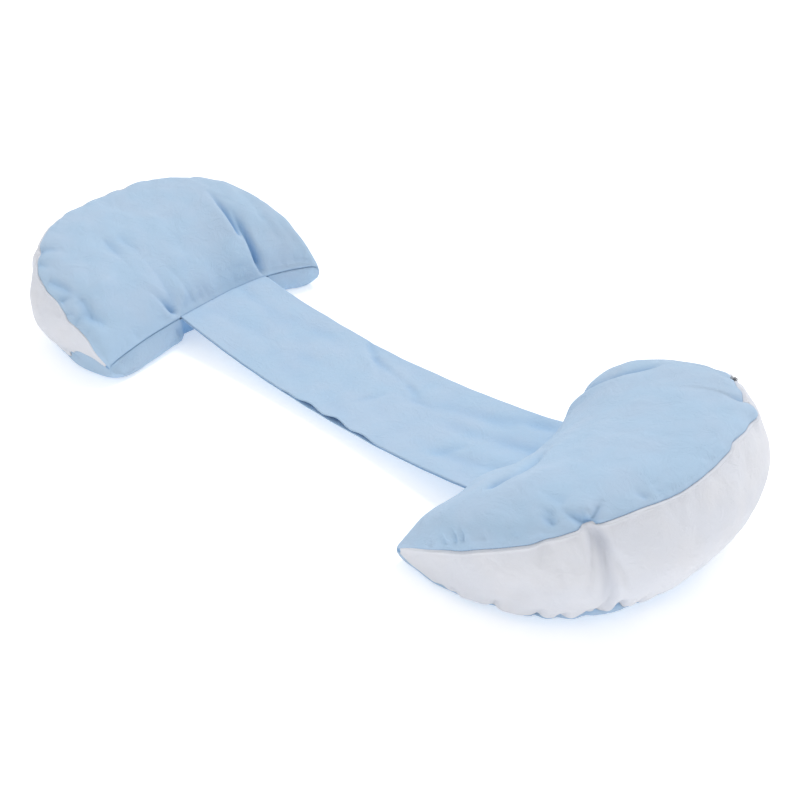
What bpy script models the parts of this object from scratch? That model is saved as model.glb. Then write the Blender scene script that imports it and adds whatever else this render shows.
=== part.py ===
"""Pregnancy pillow: two stuffed crescent cushions, each a wedge with a white wall panel round
its back, joined along their low inner seams by one band of cloth folded lengthwise.

Metres, +Z up. +X runs along the band, from the left cushion to the right one. The origin is
the middle of the footprint, on the surface that the pillow lies on.
"""

import math
from collections import namedtuple

import bmesh
import bpy
import numpy as np

# Cloth and clearances
CLEARANCE = 0.0003           # between pieces that touch on the real pillow
PANEL_THICKNESS = 0.0020     # a wall panel
LAYER_THICKNESS = 0.0014     # one layer of the band
LAYER_GAP = 0.0010           # between the band's two layers

# The middle of each cushion's inner seam, and how far the cushion is turned about it
LEFT_SEAM = (-0.2729, -0.0164)
RIGHT_SEAM = (0.2691, 0.0096)
LEFT_TURN = math.radians(6.7)
RIGHT_TURN = math.radians(4.4)

# The band
BAND_WIDTH_LEFT = 0.154
BAND_WIDTH_RIGHT = 0.166
BAND_SHIFT_LEFT = 0.020      # the band's middle, along the left inner seam
BAND_SHIFT_RIGHT = -0.008
BAND_SAG = 0.022
BAND_TUCK = 0.0040           # how far its ends reach into the inner seams
BAND_STATIONS = 26
BAND_STEPS = 9               # across one layer
FOLD_STEPS = 4               # round its folded far edge
LIFT_START, LIFT_END = 0.20, 0.62    # where the upper layer's open front edge lifts
LIFT_HEIGHT = 0.0045
LIFT_REACH = 0.030           # how far in from the front edge the lift is felt
LIFT_WAVES = 3               # along the lifted edge
LIFT_WAVINESS = 0.3
BAND_LEVEL = 0.008           # each end stays level this far, inside its seam and just past it

# The zip slider on the right cushion's top seam
ZIP_SHARE = 0.70
ZIP_SIZE = (0.010, 0.008, 0.0045)
ZIP_NARROWING = 0.7
ZIP_BEVEL = 0.0009
ZIP_SEAT = 0.0009            # above the seam, which runs slightly bent under the slider

# The inner seams, drawn into the cushions
GROOVE_DEPTH = 0.0046
GROOVE_HEIGHT = 0.0012
BAND_GROOVE_CLEARANCE = 0.0005     # above and below the band's end, where the seam curves
BAND_GROOVE_HEIGHT = 2 * LAYER_THICKNESS + LAYER_GAP + 2 * BAND_GROOVE_CLEARANCE
BAND_GROOVE_MARGIN = 0.010   # how far the taller groove runs past the band's edges

# How finely the cloth is divided, and how much closer its divisions lie near their ends
SECTIONS = 46
SECTION_EASING = 0.4
TOP_STEPS = 14
TOP_EASING = 0.5
WALL_STEPS = 6
UNDER_STEPS = 9
UNDER_EASING = 0.8
FOLD_SAMPLES = 8
FIRST_PANEL_SECTION = 1      # sections from either tip to the wall panel's ends
PANEL_EDGE_CLEARANCE = 0.0005
SLIM_WIDTH = 0.080           # sections narrower than this have a slimmer groove
SEAM_HOLD = 0.06             # folds fade out this near the inner seam
FOLD_FADE = 0.9              # how much of its strength a fold loses along its run

# The cloth's roundness, as exponents of a half wave: below 1 it is fuller near its seams
CROWN_ROUNDNESS = 0.85
CROWN_SETBACK = 0.55         # how much steeper the top panel rises from its two seams
WALL_ROUNDNESS = 0.85
UNDER_FLATNESS = 0.5
UNDER_TURN = 1.8             # how soon the underside turns in below the wall's foot
FOOT_SWELL = 0.4             # of the wall foot's height: how far the cloth below it swells out
SWELL_REACH = 3              # keeps the swell near the wall's foot, and the belly near the seam
LEAST_WIDTH = 0.030          # the underside's swell is worked out as if no section were slimmer

# One row for each section of a cushion, from the near tip (share 0) round the back to the far
# tip (share 1). "out" is the distance away from the band and "side" the distance along the
# inner seam, both from the seam's middle. "lean" pushes the crown back over the inner seam,
# "drop" presses the underside down to the floor, and "belly" is how far the underside swells
# out past the inner seam.
Section = namedtuple(
    "Section",
    "share inner_out inner_side outer_out outer_side seam_z crown lean wall_top wall_base"
    " bulge drop belly",
)
LEFT_SECTIONS = (
    Section(0.000, -0.007, -0.176, -0.007, -0.176, 0.023, 0.000, 0.02, 0.024, 0.022, 0.000, 0.2, 0.000),
    Section(0.030, -0.007, -0.175, 0.016, -0.181, 0.027, 0.009, 0.02, 0.043, 0.026, 0.005, 0.6, 0.006),
    Section(0.125, -0.006, -0.159, 0.078, -0.184, 0.031, 0.021, 0.02, 0.081, 0.028, 0.024, 1.1, 0.015),
    Section(0.250, -0.002, -0.112, 0.146, -0.156, 0.036, 0.031, 0.02, 0.115, 0.024, 0.030, 1.15, 0.019),
    Section(0.375, 0.000, -0.050, 0.188, -0.092, 0.037, 0.036, 0.02, 0.134, 0.015, 0.030, 1.15, 0.014),
    Section(0.500, 0.000, 0.000, 0.204, 0.000, 0.037, 0.038, 0.02, 0.138, 0.010, 0.031, 1.15, 0.004),
    Section(0.625, -0.002, 0.050, 0.185, 0.092, 0.037, 0.039, 0.02, 0.139, 0.009, 0.028, 1.15, 0.002),
    Section(0.750, -0.014, 0.112, 0.131, 0.160, 0.036, 0.038, 0.02, 0.123, 0.009, 0.022, 1.15, 0.004),
    Section(0.875, -0.035, 0.159, 0.052, 0.187, 0.034, 0.023, 0.02, 0.087, 0.010, 0.012, 1.1, 0.005),
    Section(0.970, -0.044, 0.175, -0.017, 0.182, 0.032, 0.006, 0.02, 0.049, 0.014, 0.003, 0.6, 0.002),
    Section(1.000, -0.045, 0.176, -0.045, 0.176, 0.030, 0.000, 0.02, 0.031, 0.029, 0.000, 0.2, 0.000),
)
RIGHT_SECTIONS = (
    Section(0.000, -0.042, -0.194, -0.042, -0.194, 0.014, 0.000, 0.02, 0.015, 0.013, 0.000, 0.2, 0.000),
    Section(0.030, -0.041, -0.193, -0.016, -0.199, 0.019, 0.006, 0.02, 0.036, 0.014, 0.003, 0.6, 0.002),
    Section(0.125, -0.032, -0.175, 0.054, -0.203, 0.027, 0.031, 0.05, 0.081, 0.013, 0.010, 1.1, 0.008),
    Section(0.250, -0.013, -0.124, 0.134, -0.174, 0.036, 0.045, 0.05, 0.119, 0.010, 0.021, 1.15, 0.010),
    Section(0.375, -0.002, -0.056, 0.188, -0.101, 0.037, 0.046, 0.04, 0.142, 0.009, 0.029, 1.15, 0.004),
    Section(0.500, 0.000, 0.000, 0.207, 0.000, 0.037, 0.046, 0.05, 0.150, 0.009, 0.031, 1.15, 0.002),
    Section(0.625, -0.008, 0.056, 0.186, 0.099, 0.037, 0.046, 0.08, 0.141, 0.009, 0.029, 1.15, 0.004),
    Section(0.750, -0.026, 0.124, 0.126, 0.169, 0.036, 0.041, 0.10, 0.111, 0.009, 0.022, 1.15, 0.003),
    Section(0.875, -0.046, 0.173, 0.046, 0.200, 0.029, 0.012, 0.05, 0.069, 0.009, 0.012, 1.1, 0.002),
    Section(0.970, -0.053, 0.190, -0.026, 0.197, 0.020, 0.004, 0.04, 0.032, 0.010, 0.003, 0.6, 0.002),
    Section(1.000, -0.055, 0.191, -0.055, 0.191, 0.013, 0.000, 0.02, 0.014, 0.012, 0.000, 0.2, 0.000),
)

# The main folds. Each runs from one place on the cloth to another. "share" is the place along
# the cushion as above. "up" is 0 at the inner seam, 1 at the wall's top seam and 2 at its foot.
# A negative depth is a ridge.
Fold = namedtuple("Fold", "share_a up_a share_b up_b width depth")
LEFT_FOLDS = (
    Fold(0.683, 0.27, 0.660, 0.62, 0.015, 0.013),     # the two creases that part the far lobe
    Fold(0.703, 0.04, 0.690, 0.36, 0.018, 0.017),
    Fold(0.745, 0.12, 0.745, 0.60, 0.026, -0.005),    # the far lobe, full beside them
    Fold(0.625, 0.10, 0.620, 0.50, 0.026, -0.004),
    Fold(0.360, 0.06, 0.410, 0.48, 0.020, 0.006),     # up from the band's near corner
    Fold(0.330, 0.10, 0.345, 0.40, 0.018, -0.003),
    Fold(0.355, 0.54, 0.360, 0.38, 0.014, 0.004),
    Fold(0.070, 0.45, 0.210, 0.52, 0.020, 0.006),     # a trough towards the near tip
    Fold(0.240, 0.98, 0.235, 0.80, 0.016, 0.004),
    Fold(0.150, 0.98, 0.155, 0.80, 0.014, 0.004),
)
RIGHT_FOLDS = (
    Fold(0.280, 1.00, 0.312, 0.80, 0.015, 0.010),     # the pucker in the top seam
    Fold(0.280, 1.00, 0.300, 1.55, 0.015, 0.008),
    Fold(0.278, 1.05, 0.262, 1.85, 0.014, 0.005),
    Fold(0.300, 1.05, 0.330, 1.75, 0.016, -0.003),
    Fold(0.245, 0.85, 0.250, 0.78, 0.016, 0.005),
    Fold(0.112, 0.78, 0.120, 0.55, 0.014, 0.004),     # gathers near the near tip
    Fold(0.245, 0.22, 0.360, 0.24, 0.016, -0.004),    # the roll of cloth along the band
    Fold(0.240, 0.38, 0.360, 0.40, 0.018, 0.003),
    Fold(0.700, 0.12, 0.738, 0.55, 0.020, 0.012),     # the dip that parts the far lobe
    Fold(0.632, 1.00, 0.632, 0.90, 0.016, 0.008),     # the notch and corner below the zip
    Fold(0.600, 1.00, 0.600, 0.90, 0.018, -0.004),
    Fold(0.690, 1.00, 0.690, 0.90, 0.018, 0.003),
)

BLUE = (0.46, 0.62, 0.80, 1.0)
WHITE = (0.80, 0.82, 0.87, 1.0)
ZIP_GREY = (0.30, 0.31, 0.33, 1.0)


def clear_scene():
    for obj in list(bpy.data.objects):
        bpy.data.objects.remove(obj, do_unlink=True)


def make_material(name, color, roughness=0.9, metallic=0.0):
    material = bpy.data.materials.new(name)
    material.use_nodes = True
    shader = material.node_tree.nodes["Principled BSDF"]
    shader.inputs["Base Color"].default_value = color
    shader.inputs["Roughness"].default_value = roughness
    shader.inputs["Metallic"].default_value = metallic
    return material


def section_at(rows, share):
    """The section at one share of the way round, on a smooth curve through the table's rows."""
    last = len(rows) - 1
    index = min(sum(row.share <= share for row in rows), last) - 1
    nearby = (max(index - 1, 0), index, index + 1, min(index + 2, last))
    before, start, end, after = (np.array(rows[k]) for k in nearby)
    span = end[0] - start[0]
    f = (share - start[0]) / span
    slope_start = (end - before) / (end[0] - before[0]) * span
    slope_end = (after - start) / (after[0] - start[0]) * span
    values = (
        (2 * f**3 - 3 * f**2 + 1) * start
        + (f**3 - 2 * f**2 + f) * slope_start
        + (3 * f**2 - 2 * f**3) * end
        + (f**3 - f**2) * slope_end
    )
    return Section(*values)


def ease(shares, amount):
    """Moves shares from 0 to 1 towards the nearer end."""
    return (1 - amount) * shares + amount * (0.5 - 0.5 * np.cos(math.pi * shares))


def eased(steps, amount):
    """Shares from 0 to 1, closer together towards both ends."""
    return ease(np.linspace(0.0, 1.0, steps + 1), amount)


def section_shares():
    """Where the cushions' sections lie, between their tips."""
    return eased(SECTIONS, SECTION_EASING)[1:-1]


def section_width(row):
    return math.hypot(row.outer_out - row.inner_out, row.outer_side - row.inner_side)


def place_in_section(row, across, height):
    """Points of one section, from shares of the way across and heights."""
    out = row.inner_out + across * (row.outer_out - row.inner_out)
    side = row.inner_side + across * (row.outer_side - row.inner_side)
    return np.stack([out, side, np.maximum(height, 0.0)], axis=-1)


def top_panel(row):
    t = eased(TOP_STEPS, TOP_EASING)
    arch = np.sin(math.pi * t)
    across = ease(t, CROWN_SETBACK) - row.lean * arch * (1 - t)
    height = row.seam_z + (row.wall_top - row.seam_z) * t + row.crown * arch**CROWN_ROUNDNESS
    return place_in_section(row, across, height)


def wall(row):
    t = np.linspace(0.0, 1.0, WALL_STEPS + 1)
    across = 1 + row.bulge / section_width(row) * np.sin(math.pi * t) ** WALL_ROUNDNESS
    return place_in_section(row, across, row.wall_top + (row.wall_base - row.wall_top) * t)


def underside(row):
    t = eased(UNDER_STEPS, UNDER_EASING)
    line = row.wall_base + (row.seam_z - row.wall_base) * t
    foot = FOOT_SWELL * row.wall_base * np.sin(math.pi * (1 - t) ** SWELL_REACH)
    belly = row.belly * np.sin(math.pi * t**SWELL_REACH)
    across = (1 - t) ** UNDER_TURN + (foot - belly) / max(section_width(row), LEAST_WIDTH)
    return place_in_section(row, across, line * (1 - row.drop * np.sin(math.pi * t) ** UNDER_FLATNESS))


def grid_normals(grid):
    """Unit normals of a grid of points, outwards where its columns run up and over the cushion."""
    normals = np.cross(np.gradient(grid, axis=1), np.gradient(grid, axis=0))
    return normals / np.linalg.norm(normals, axis=-1, keepdims=True)


def upper_cloth(row):
    """The top panel and the wall of one section, from the inner seam over to the wall's foot."""
    return np.concatenate([top_panel(row), wall(row)[1:]])


def upper_places():
    """How far up each point of upper_cloth lies: 0 to 1 on the top panel, 1 to 2 on the wall."""
    return np.concatenate([eased(TOP_STEPS, TOP_EASING), np.linspace(1.0, 2.0, WALL_STEPS + 1)[1:]])


def fold_points(rows, fold):
    """Points along a fold on the unfolded cloth, and how strong the fold is at each."""
    points, strengths = [], []
    for step in np.linspace(0.0, 1.0, FOLD_SAMPLES + 1):
        cloth = upper_cloth(section_at(rows, fold.share_a + (fold.share_b - fold.share_a) * step))
        up = fold.up_a + (fold.up_b - fold.up_a) * step
        points.append([np.interp(up, upper_places(), cloth[:, axis]) for axis in range(3)])
        strengths.append(math.cos(0.5 * math.pi * step * FOLD_FADE))
    return np.array(points), np.array(strengths)


def press_folds(cloth, rows, folds):
    """Moves the cloth in along its folds and out along its ridges, but not at the inner seam."""
    normals = grid_normals(cloth)
    moved = np.zeros(cloth.shape[:2])
    for fold in folds:
        points, strengths = fold_points(rows, fold)
        distance = np.linalg.norm(cloth[:, :, None, :] - points, axis=-1)
        moved -= fold.depth * (strengths * np.exp(-((distance / fold.width) ** 2))).max(axis=-1)
    hold = np.clip(upper_places() / SEAM_HOLD, 0.0, 1.0)
    cloth = cloth + normals * (moved * hold)[..., None]
    cloth[..., 2] = np.maximum(cloth[..., 2], 0.0)
    return cloth


def groove_height(side, band_shift, band_width):
    """The inner seam's groove is taller where the band's end lies in it."""
    beyond = abs(side - band_shift) - band_width / 2 - BAND_GROOVE_MARGIN
    return BAND_GROOVE_HEIGHT if beyond < 0 else GROOVE_HEIGHT


def to_world(points, seam, turn, mirrored):
    """From a cushion's own (out, side, z) to the pillow's frame."""
    out = -points[..., 0] if mirrored else points[..., 0]
    side = points[..., 1]
    x = seam[0] + out * math.cos(turn) - side * math.sin(turn)
    y = seam[1] + out * math.sin(turn) + side * math.cos(turn)
    return np.stack([x, y, points[..., 2]], axis=-1)


def new_object(name, vertices, faces, material, collection):
    mesh = bpy.data.meshes.new(name)
    mesh.from_pydata([tuple(vertex) for vertex in vertices], [], faces)
    bm = bmesh.new()
    bm.from_mesh(mesh)
    bmesh.ops.recalc_face_normals(bm, faces=bm.faces)
    if bm.calc_volume(signed=True) < 0:
        bmesh.ops.reverse_faces(bm, faces=bm.faces)
    bm.to_mesh(mesh)
    bm.free()
    mesh.shade_smooth()
    mesh.materials.append(material)
    obj = bpy.data.objects.new(name, mesh)
    collection.objects.link(obj)
    return obj


def filled_solid(name, rings, near_tip, far_tip, material, collection):
    """One closed body through a stack of closed rings, drawn to a point at both ends."""
    stations, count = rings.shape[:2]
    vertices = [*rings.reshape(-1, 3), near_tip, far_tip]
    near, far = len(vertices) - 2, len(vertices) - 1
    faces = []
    for k in range(count):
        after = (k + 1) % count
        faces.append((near, k, after))
        faces.append((far, (stations - 1) * count + after, (stations - 1) * count + k))
        for station in range(stations - 1):
            here, there = station * count, (station + 1) * count
            faces.append((here + k, there + k, there + after, here + after))
    return new_object(name, vertices, faces, material, collection)


def sheet_solid(name, outer, inner, material, collection):
    """One closed body between two faces of a sheet, given as grids of the same size."""
    stations, count = outer.shape[:2]
    vertices = [*outer.reshape(-1, 3), *inner.reshape(-1, 3)]
    back = stations * count
    faces = []
    for station in range(stations - 1):
        for k in range(count - 1):
            a = station * count + k
            b, c, d = a + count, a + count + 1, a + 1
            faces.append((a, b, c, d))
            faces.append((back + a, back + d, back + c, back + b))
        for edge in (0, count - 1):
            a = station * count + edge
            faces.append((a, a + count, back + a + count, back + a))
    for end in (0, (stations - 1) * count):
        for k in range(count - 1):
            a = end + k
            faces.append((a, a + 1, back + a + 1, back + a))
    return new_object(name, vertices, faces, material, collection)


def make_cushion(side, rows, folds, band_shift, band_width, place, materials, collection):
    """One filled cushion and its wall panel. Returns the inner seam's line and the upper cloth."""
    sections = [section_at(rows, share) for share in section_shares()]
    cloth = press_folds(np.array([upper_cloth(row) for row in sections]), rows, folds)
    under = np.array([underside(row) for row in sections])
    under[:, 0] = cloth[:, -1]
    top, walls = cloth[:, : TOP_STEPS + 1], cloth[:, TOP_STEPS:]
    wall_normals = grid_normals(walls)

    recess = np.full(len(sections), PANEL_THICKNESS + CLEARANCE)
    recess[:FIRST_PANEL_SECTION] = CLEARANCE
    recess[-FIRST_PANEL_SECTION:] = CLEARANCE
    backing = walls - wall_normals * recess[:, None, None]

    seam = np.array([(row.inner_out, row.inner_side, row.seam_z) for row in sections])
    slim = np.array([min(section_width(row) / SLIM_WIDTH, 1.0) for row in sections])
    heights = [groove_height(row.inner_side, band_shift, band_width) for row in sections]
    half = 0.5 * slim * np.array(heights)
    top[:, 0, 2] = seam[:, 2] + half
    under[:, -1, 2] = seam[:, 2] - half
    floor_low, floor_high = seam.copy(), seam.copy()
    for line, sign in ((floor_low, -1), (floor_high, 1)):
        line[:, 0] += GROOVE_DEPTH * slim
        line[:, 2] += sign * half

    rings = np.concatenate([top, backing, under, floor_low[:, None], floor_high[:, None]], axis=1)
    tips = []
    for row in (rows[0], rows[-1]):
        tip = np.array((row.inner_out, row.inner_side, 0.5 * (row.wall_top + row.wall_base)))
        tips.append(to_world(tip, **place))
    filled_solid("cushion_" + side, to_world(rings, **place), *tips, materials["blue"], collection)

    covered = slice(FIRST_PANEL_SECTION, len(sections) - FIRST_PANEL_SECTION)
    outer = walls[covered].copy()
    for edge, inward in ((0, 1), (-1, -2)):
        run = outer[:, inward] - outer[:, edge]
        outer[:, edge] += run / np.linalg.norm(run, axis=-1, keepdims=True) * PANEL_EDGE_CLEARANCE
    inner = outer - wall_normals[covered] * PANEL_THICKNESS
    faces = (to_world(outer, **place), to_world(inner, **place))
    sheet_solid("gusset_" + side, *faces, materials["white"], collection)
    return seam, cloth


def seam_end(seam, place, across, shift, width):
    """The band's end in one inner seam, at shares of its width from its middle."""
    side = shift + across * width
    out = np.interp(side, seam[:, 1], seam[:, 0]) + BAND_TUCK
    return to_world(np.stack([out, side, np.interp(side, seam[:, 1], seam[:, 2])], axis=-1), **place)


def band_path(station):
    """The folded band's section: shares of its width, and heights above its middle."""
    radius = (LAYER_THICKNESS + LAYER_GAP) / 2
    width = BAND_WIDTH_LEFT + (BAND_WIDTH_RIGHT - BAND_WIDTH_LEFT) * station
    turn = 0.5 - radius / width
    flat = np.linspace(-0.5, turn, BAND_STEPS + 1)
    bend = np.linspace(-0.5, 0.5, FOLD_STEPS + 1)[1:-1] * math.pi
    along = np.clip((station - LIFT_START) / (LIFT_END - LIFT_START), 0.0, 1.0)
    waviness = 1 - LIFT_WAVINESS + LIFT_WAVINESS * math.cos(2 * math.pi * LIFT_WAVES * along)
    wave = LIFT_HEIGHT * math.sin(math.pi * along) * waviness
    lift = wave * np.exp(-(flat + 0.5) * width / LIFT_REACH)
    across = np.concatenate([flat, turn + radius / width * np.cos(bend), flat[::-1]])
    height = np.concatenate([np.full(len(flat), -radius), radius * np.sin(bend), radius + lift[::-1]])
    path = np.stack([across * width, height], axis=-1)
    run = np.gradient(path, axis=0)
    normal = np.stack([-run[:, 1], run[:, 0]], axis=-1)
    normal /= np.linalg.norm(normal, axis=-1, keepdims=True)
    half = normal * LAYER_THICKNESS / 2
    return [face / np.array([width, 1.0]) for face in (path - half, path + half)]


def make_band(left_seam, left_place, right_seam, right_place, material, collection):
    level = BAND_LEVEL / abs(RIGHT_SEAM[0] - LEFT_SEAM[0])
    stations = np.concatenate([[0.0], np.linspace(level, 1 - level, BAND_STATIONS - 1), [1.0]])
    faces = []
    for face in (0, 1):
        grid = []
        for station in stations:
            across, height = band_path(station)[face].T
            start = seam_end(left_seam, left_place, across, BAND_SHIFT_LEFT, BAND_WIDTH_LEFT)
            end = seam_end(right_seam, right_place, across, BAND_SHIFT_RIGHT, BAND_WIDTH_RIGHT)
            line = start + (end - start) * station
            hang = np.clip((station - level) / (1 - 2 * level), 0.0, 1.0)
            line[:, 2] += height - 4 * BAND_SAG * hang * (1 - hang)
            grid.append(line)
        faces.append(np.array(grid))
    sheet_solid("band", faces[1], faces[0], material, collection)


def make_zip_slider(cloth, place, material, collection):
    """A small slider lying on the right cushion's top seam, its bridge standing up."""
    points = to_world(cloth, **place)
    index = int(np.argmin(np.abs(section_shares() - ZIP_SHARE)))
    normal = grid_normals(points)[index, TOP_STEPS]
    along = points[index + 1, TOP_STEPS] - points[index - 1, TOP_STEPS]
    along /= np.linalg.norm(along)
    normal -= along * float(normal @ along)
    normal /= np.linalg.norm(normal)
    across = np.cross(normal, along)
    length, width, height = ZIP_SIZE
    foot = points[index, TOP_STEPS] + normal * ZIP_SEAT
    bm = bmesh.new()
    bmesh.ops.create_cube(bm, size=1.0)
    for vertex in bm.verts:
        x, y, z = vertex.co
        breadth = width if x < 0 else width * ZIP_NARROWING
        vertex.co = foot + along * x * length + across * y * breadth + normal * (z + 0.5) * height
    bmesh.ops.bevel(bm, geom=list(bm.edges), offset=ZIP_BEVEL, segments=1, affect="EDGES")
    vertices = [vertex.co.copy() for vertex in bm.verts]
    faces = [[vertex.index for vertex in face.verts] for face in bm.faces]
    bm.free()
    new_object("zip_slider_right", vertices, faces, material, collection)


def main():
    clear_scene()
    collection = bpy.data.collections.new("pregnancy_pillow")
    bpy.context.scene.collection.children.link(collection)
    materials = {
        "blue": make_material("blue_cotton", BLUE),
        "white": make_material("white_cotton", WHITE),
        "grey": make_material("zip_metal", ZIP_GREY, 0.45, 0.8),
    }
    left_place = {"seam": LEFT_SEAM, "turn": LEFT_TURN, "mirrored": True}
    right_place = {"seam": RIGHT_SEAM, "turn": RIGHT_TURN, "mirrored": False}
    left_seam, _ = make_cushion(
        "left", LEFT_SECTIONS, LEFT_FOLDS, BAND_SHIFT_LEFT, BAND_WIDTH_LEFT, left_place,
        materials, collection,
    )
    right_seam, right_cloth = make_cushion(
        "right", RIGHT_SECTIONS, RIGHT_FOLDS, BAND_SHIFT_RIGHT, BAND_WIDTH_RIGHT, right_place,
        materials, collection,
    )
    make_band(left_seam, left_place, right_seam, right_place, materials["blue"], collection)
    make_zip_slider(right_cloth, right_place, materials["grey"], collection)


main()
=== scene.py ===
import math
from collections import namedtuple

import bmesh
import bpy
import numpy as np
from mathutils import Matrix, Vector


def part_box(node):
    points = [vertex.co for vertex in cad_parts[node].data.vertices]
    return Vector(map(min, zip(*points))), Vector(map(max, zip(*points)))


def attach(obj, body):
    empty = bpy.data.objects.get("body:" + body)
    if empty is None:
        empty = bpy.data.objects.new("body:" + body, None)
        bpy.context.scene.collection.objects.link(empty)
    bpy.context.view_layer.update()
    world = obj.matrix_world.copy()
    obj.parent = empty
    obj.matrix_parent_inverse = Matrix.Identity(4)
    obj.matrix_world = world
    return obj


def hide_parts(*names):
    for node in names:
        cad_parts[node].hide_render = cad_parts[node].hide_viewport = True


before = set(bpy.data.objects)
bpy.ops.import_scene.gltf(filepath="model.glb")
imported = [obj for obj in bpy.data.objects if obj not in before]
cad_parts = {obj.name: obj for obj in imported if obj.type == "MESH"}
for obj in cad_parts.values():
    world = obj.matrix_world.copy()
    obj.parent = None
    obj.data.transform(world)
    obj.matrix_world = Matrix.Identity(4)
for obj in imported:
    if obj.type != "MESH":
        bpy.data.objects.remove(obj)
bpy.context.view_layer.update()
print("frame loaded")

# Lengths are in metres. "out" is away from the band, "side" along the inner seam. A place on a
# cushion is its share of the way round, from the near tip (0) to the far tip (1), and how far
# it lies up the cloth: 0 at the inner seam, 1 at the wall's top seam, 2 at the wall's foot and
# 3 back at the inner seam, underneath.
Section = namedtuple(
    "Section",
    "share innerOut innerSide outerOut outerSide seamHeight crown lean wallTop wallBase bulge drop belly",
)
# A fold starts softly at A, is deepest about a fifth of the way along and is gone at B. A negative
# depth is a ridge, and spread makes the fold that many times wider on its far side.
Fold = namedtuple("Fold", "shareA upA shareB upB width depth sharp spread", defaults=[1.0])
Seam = namedtuple("Seam", "share up")           # where a sewn seam wanders to

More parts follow.
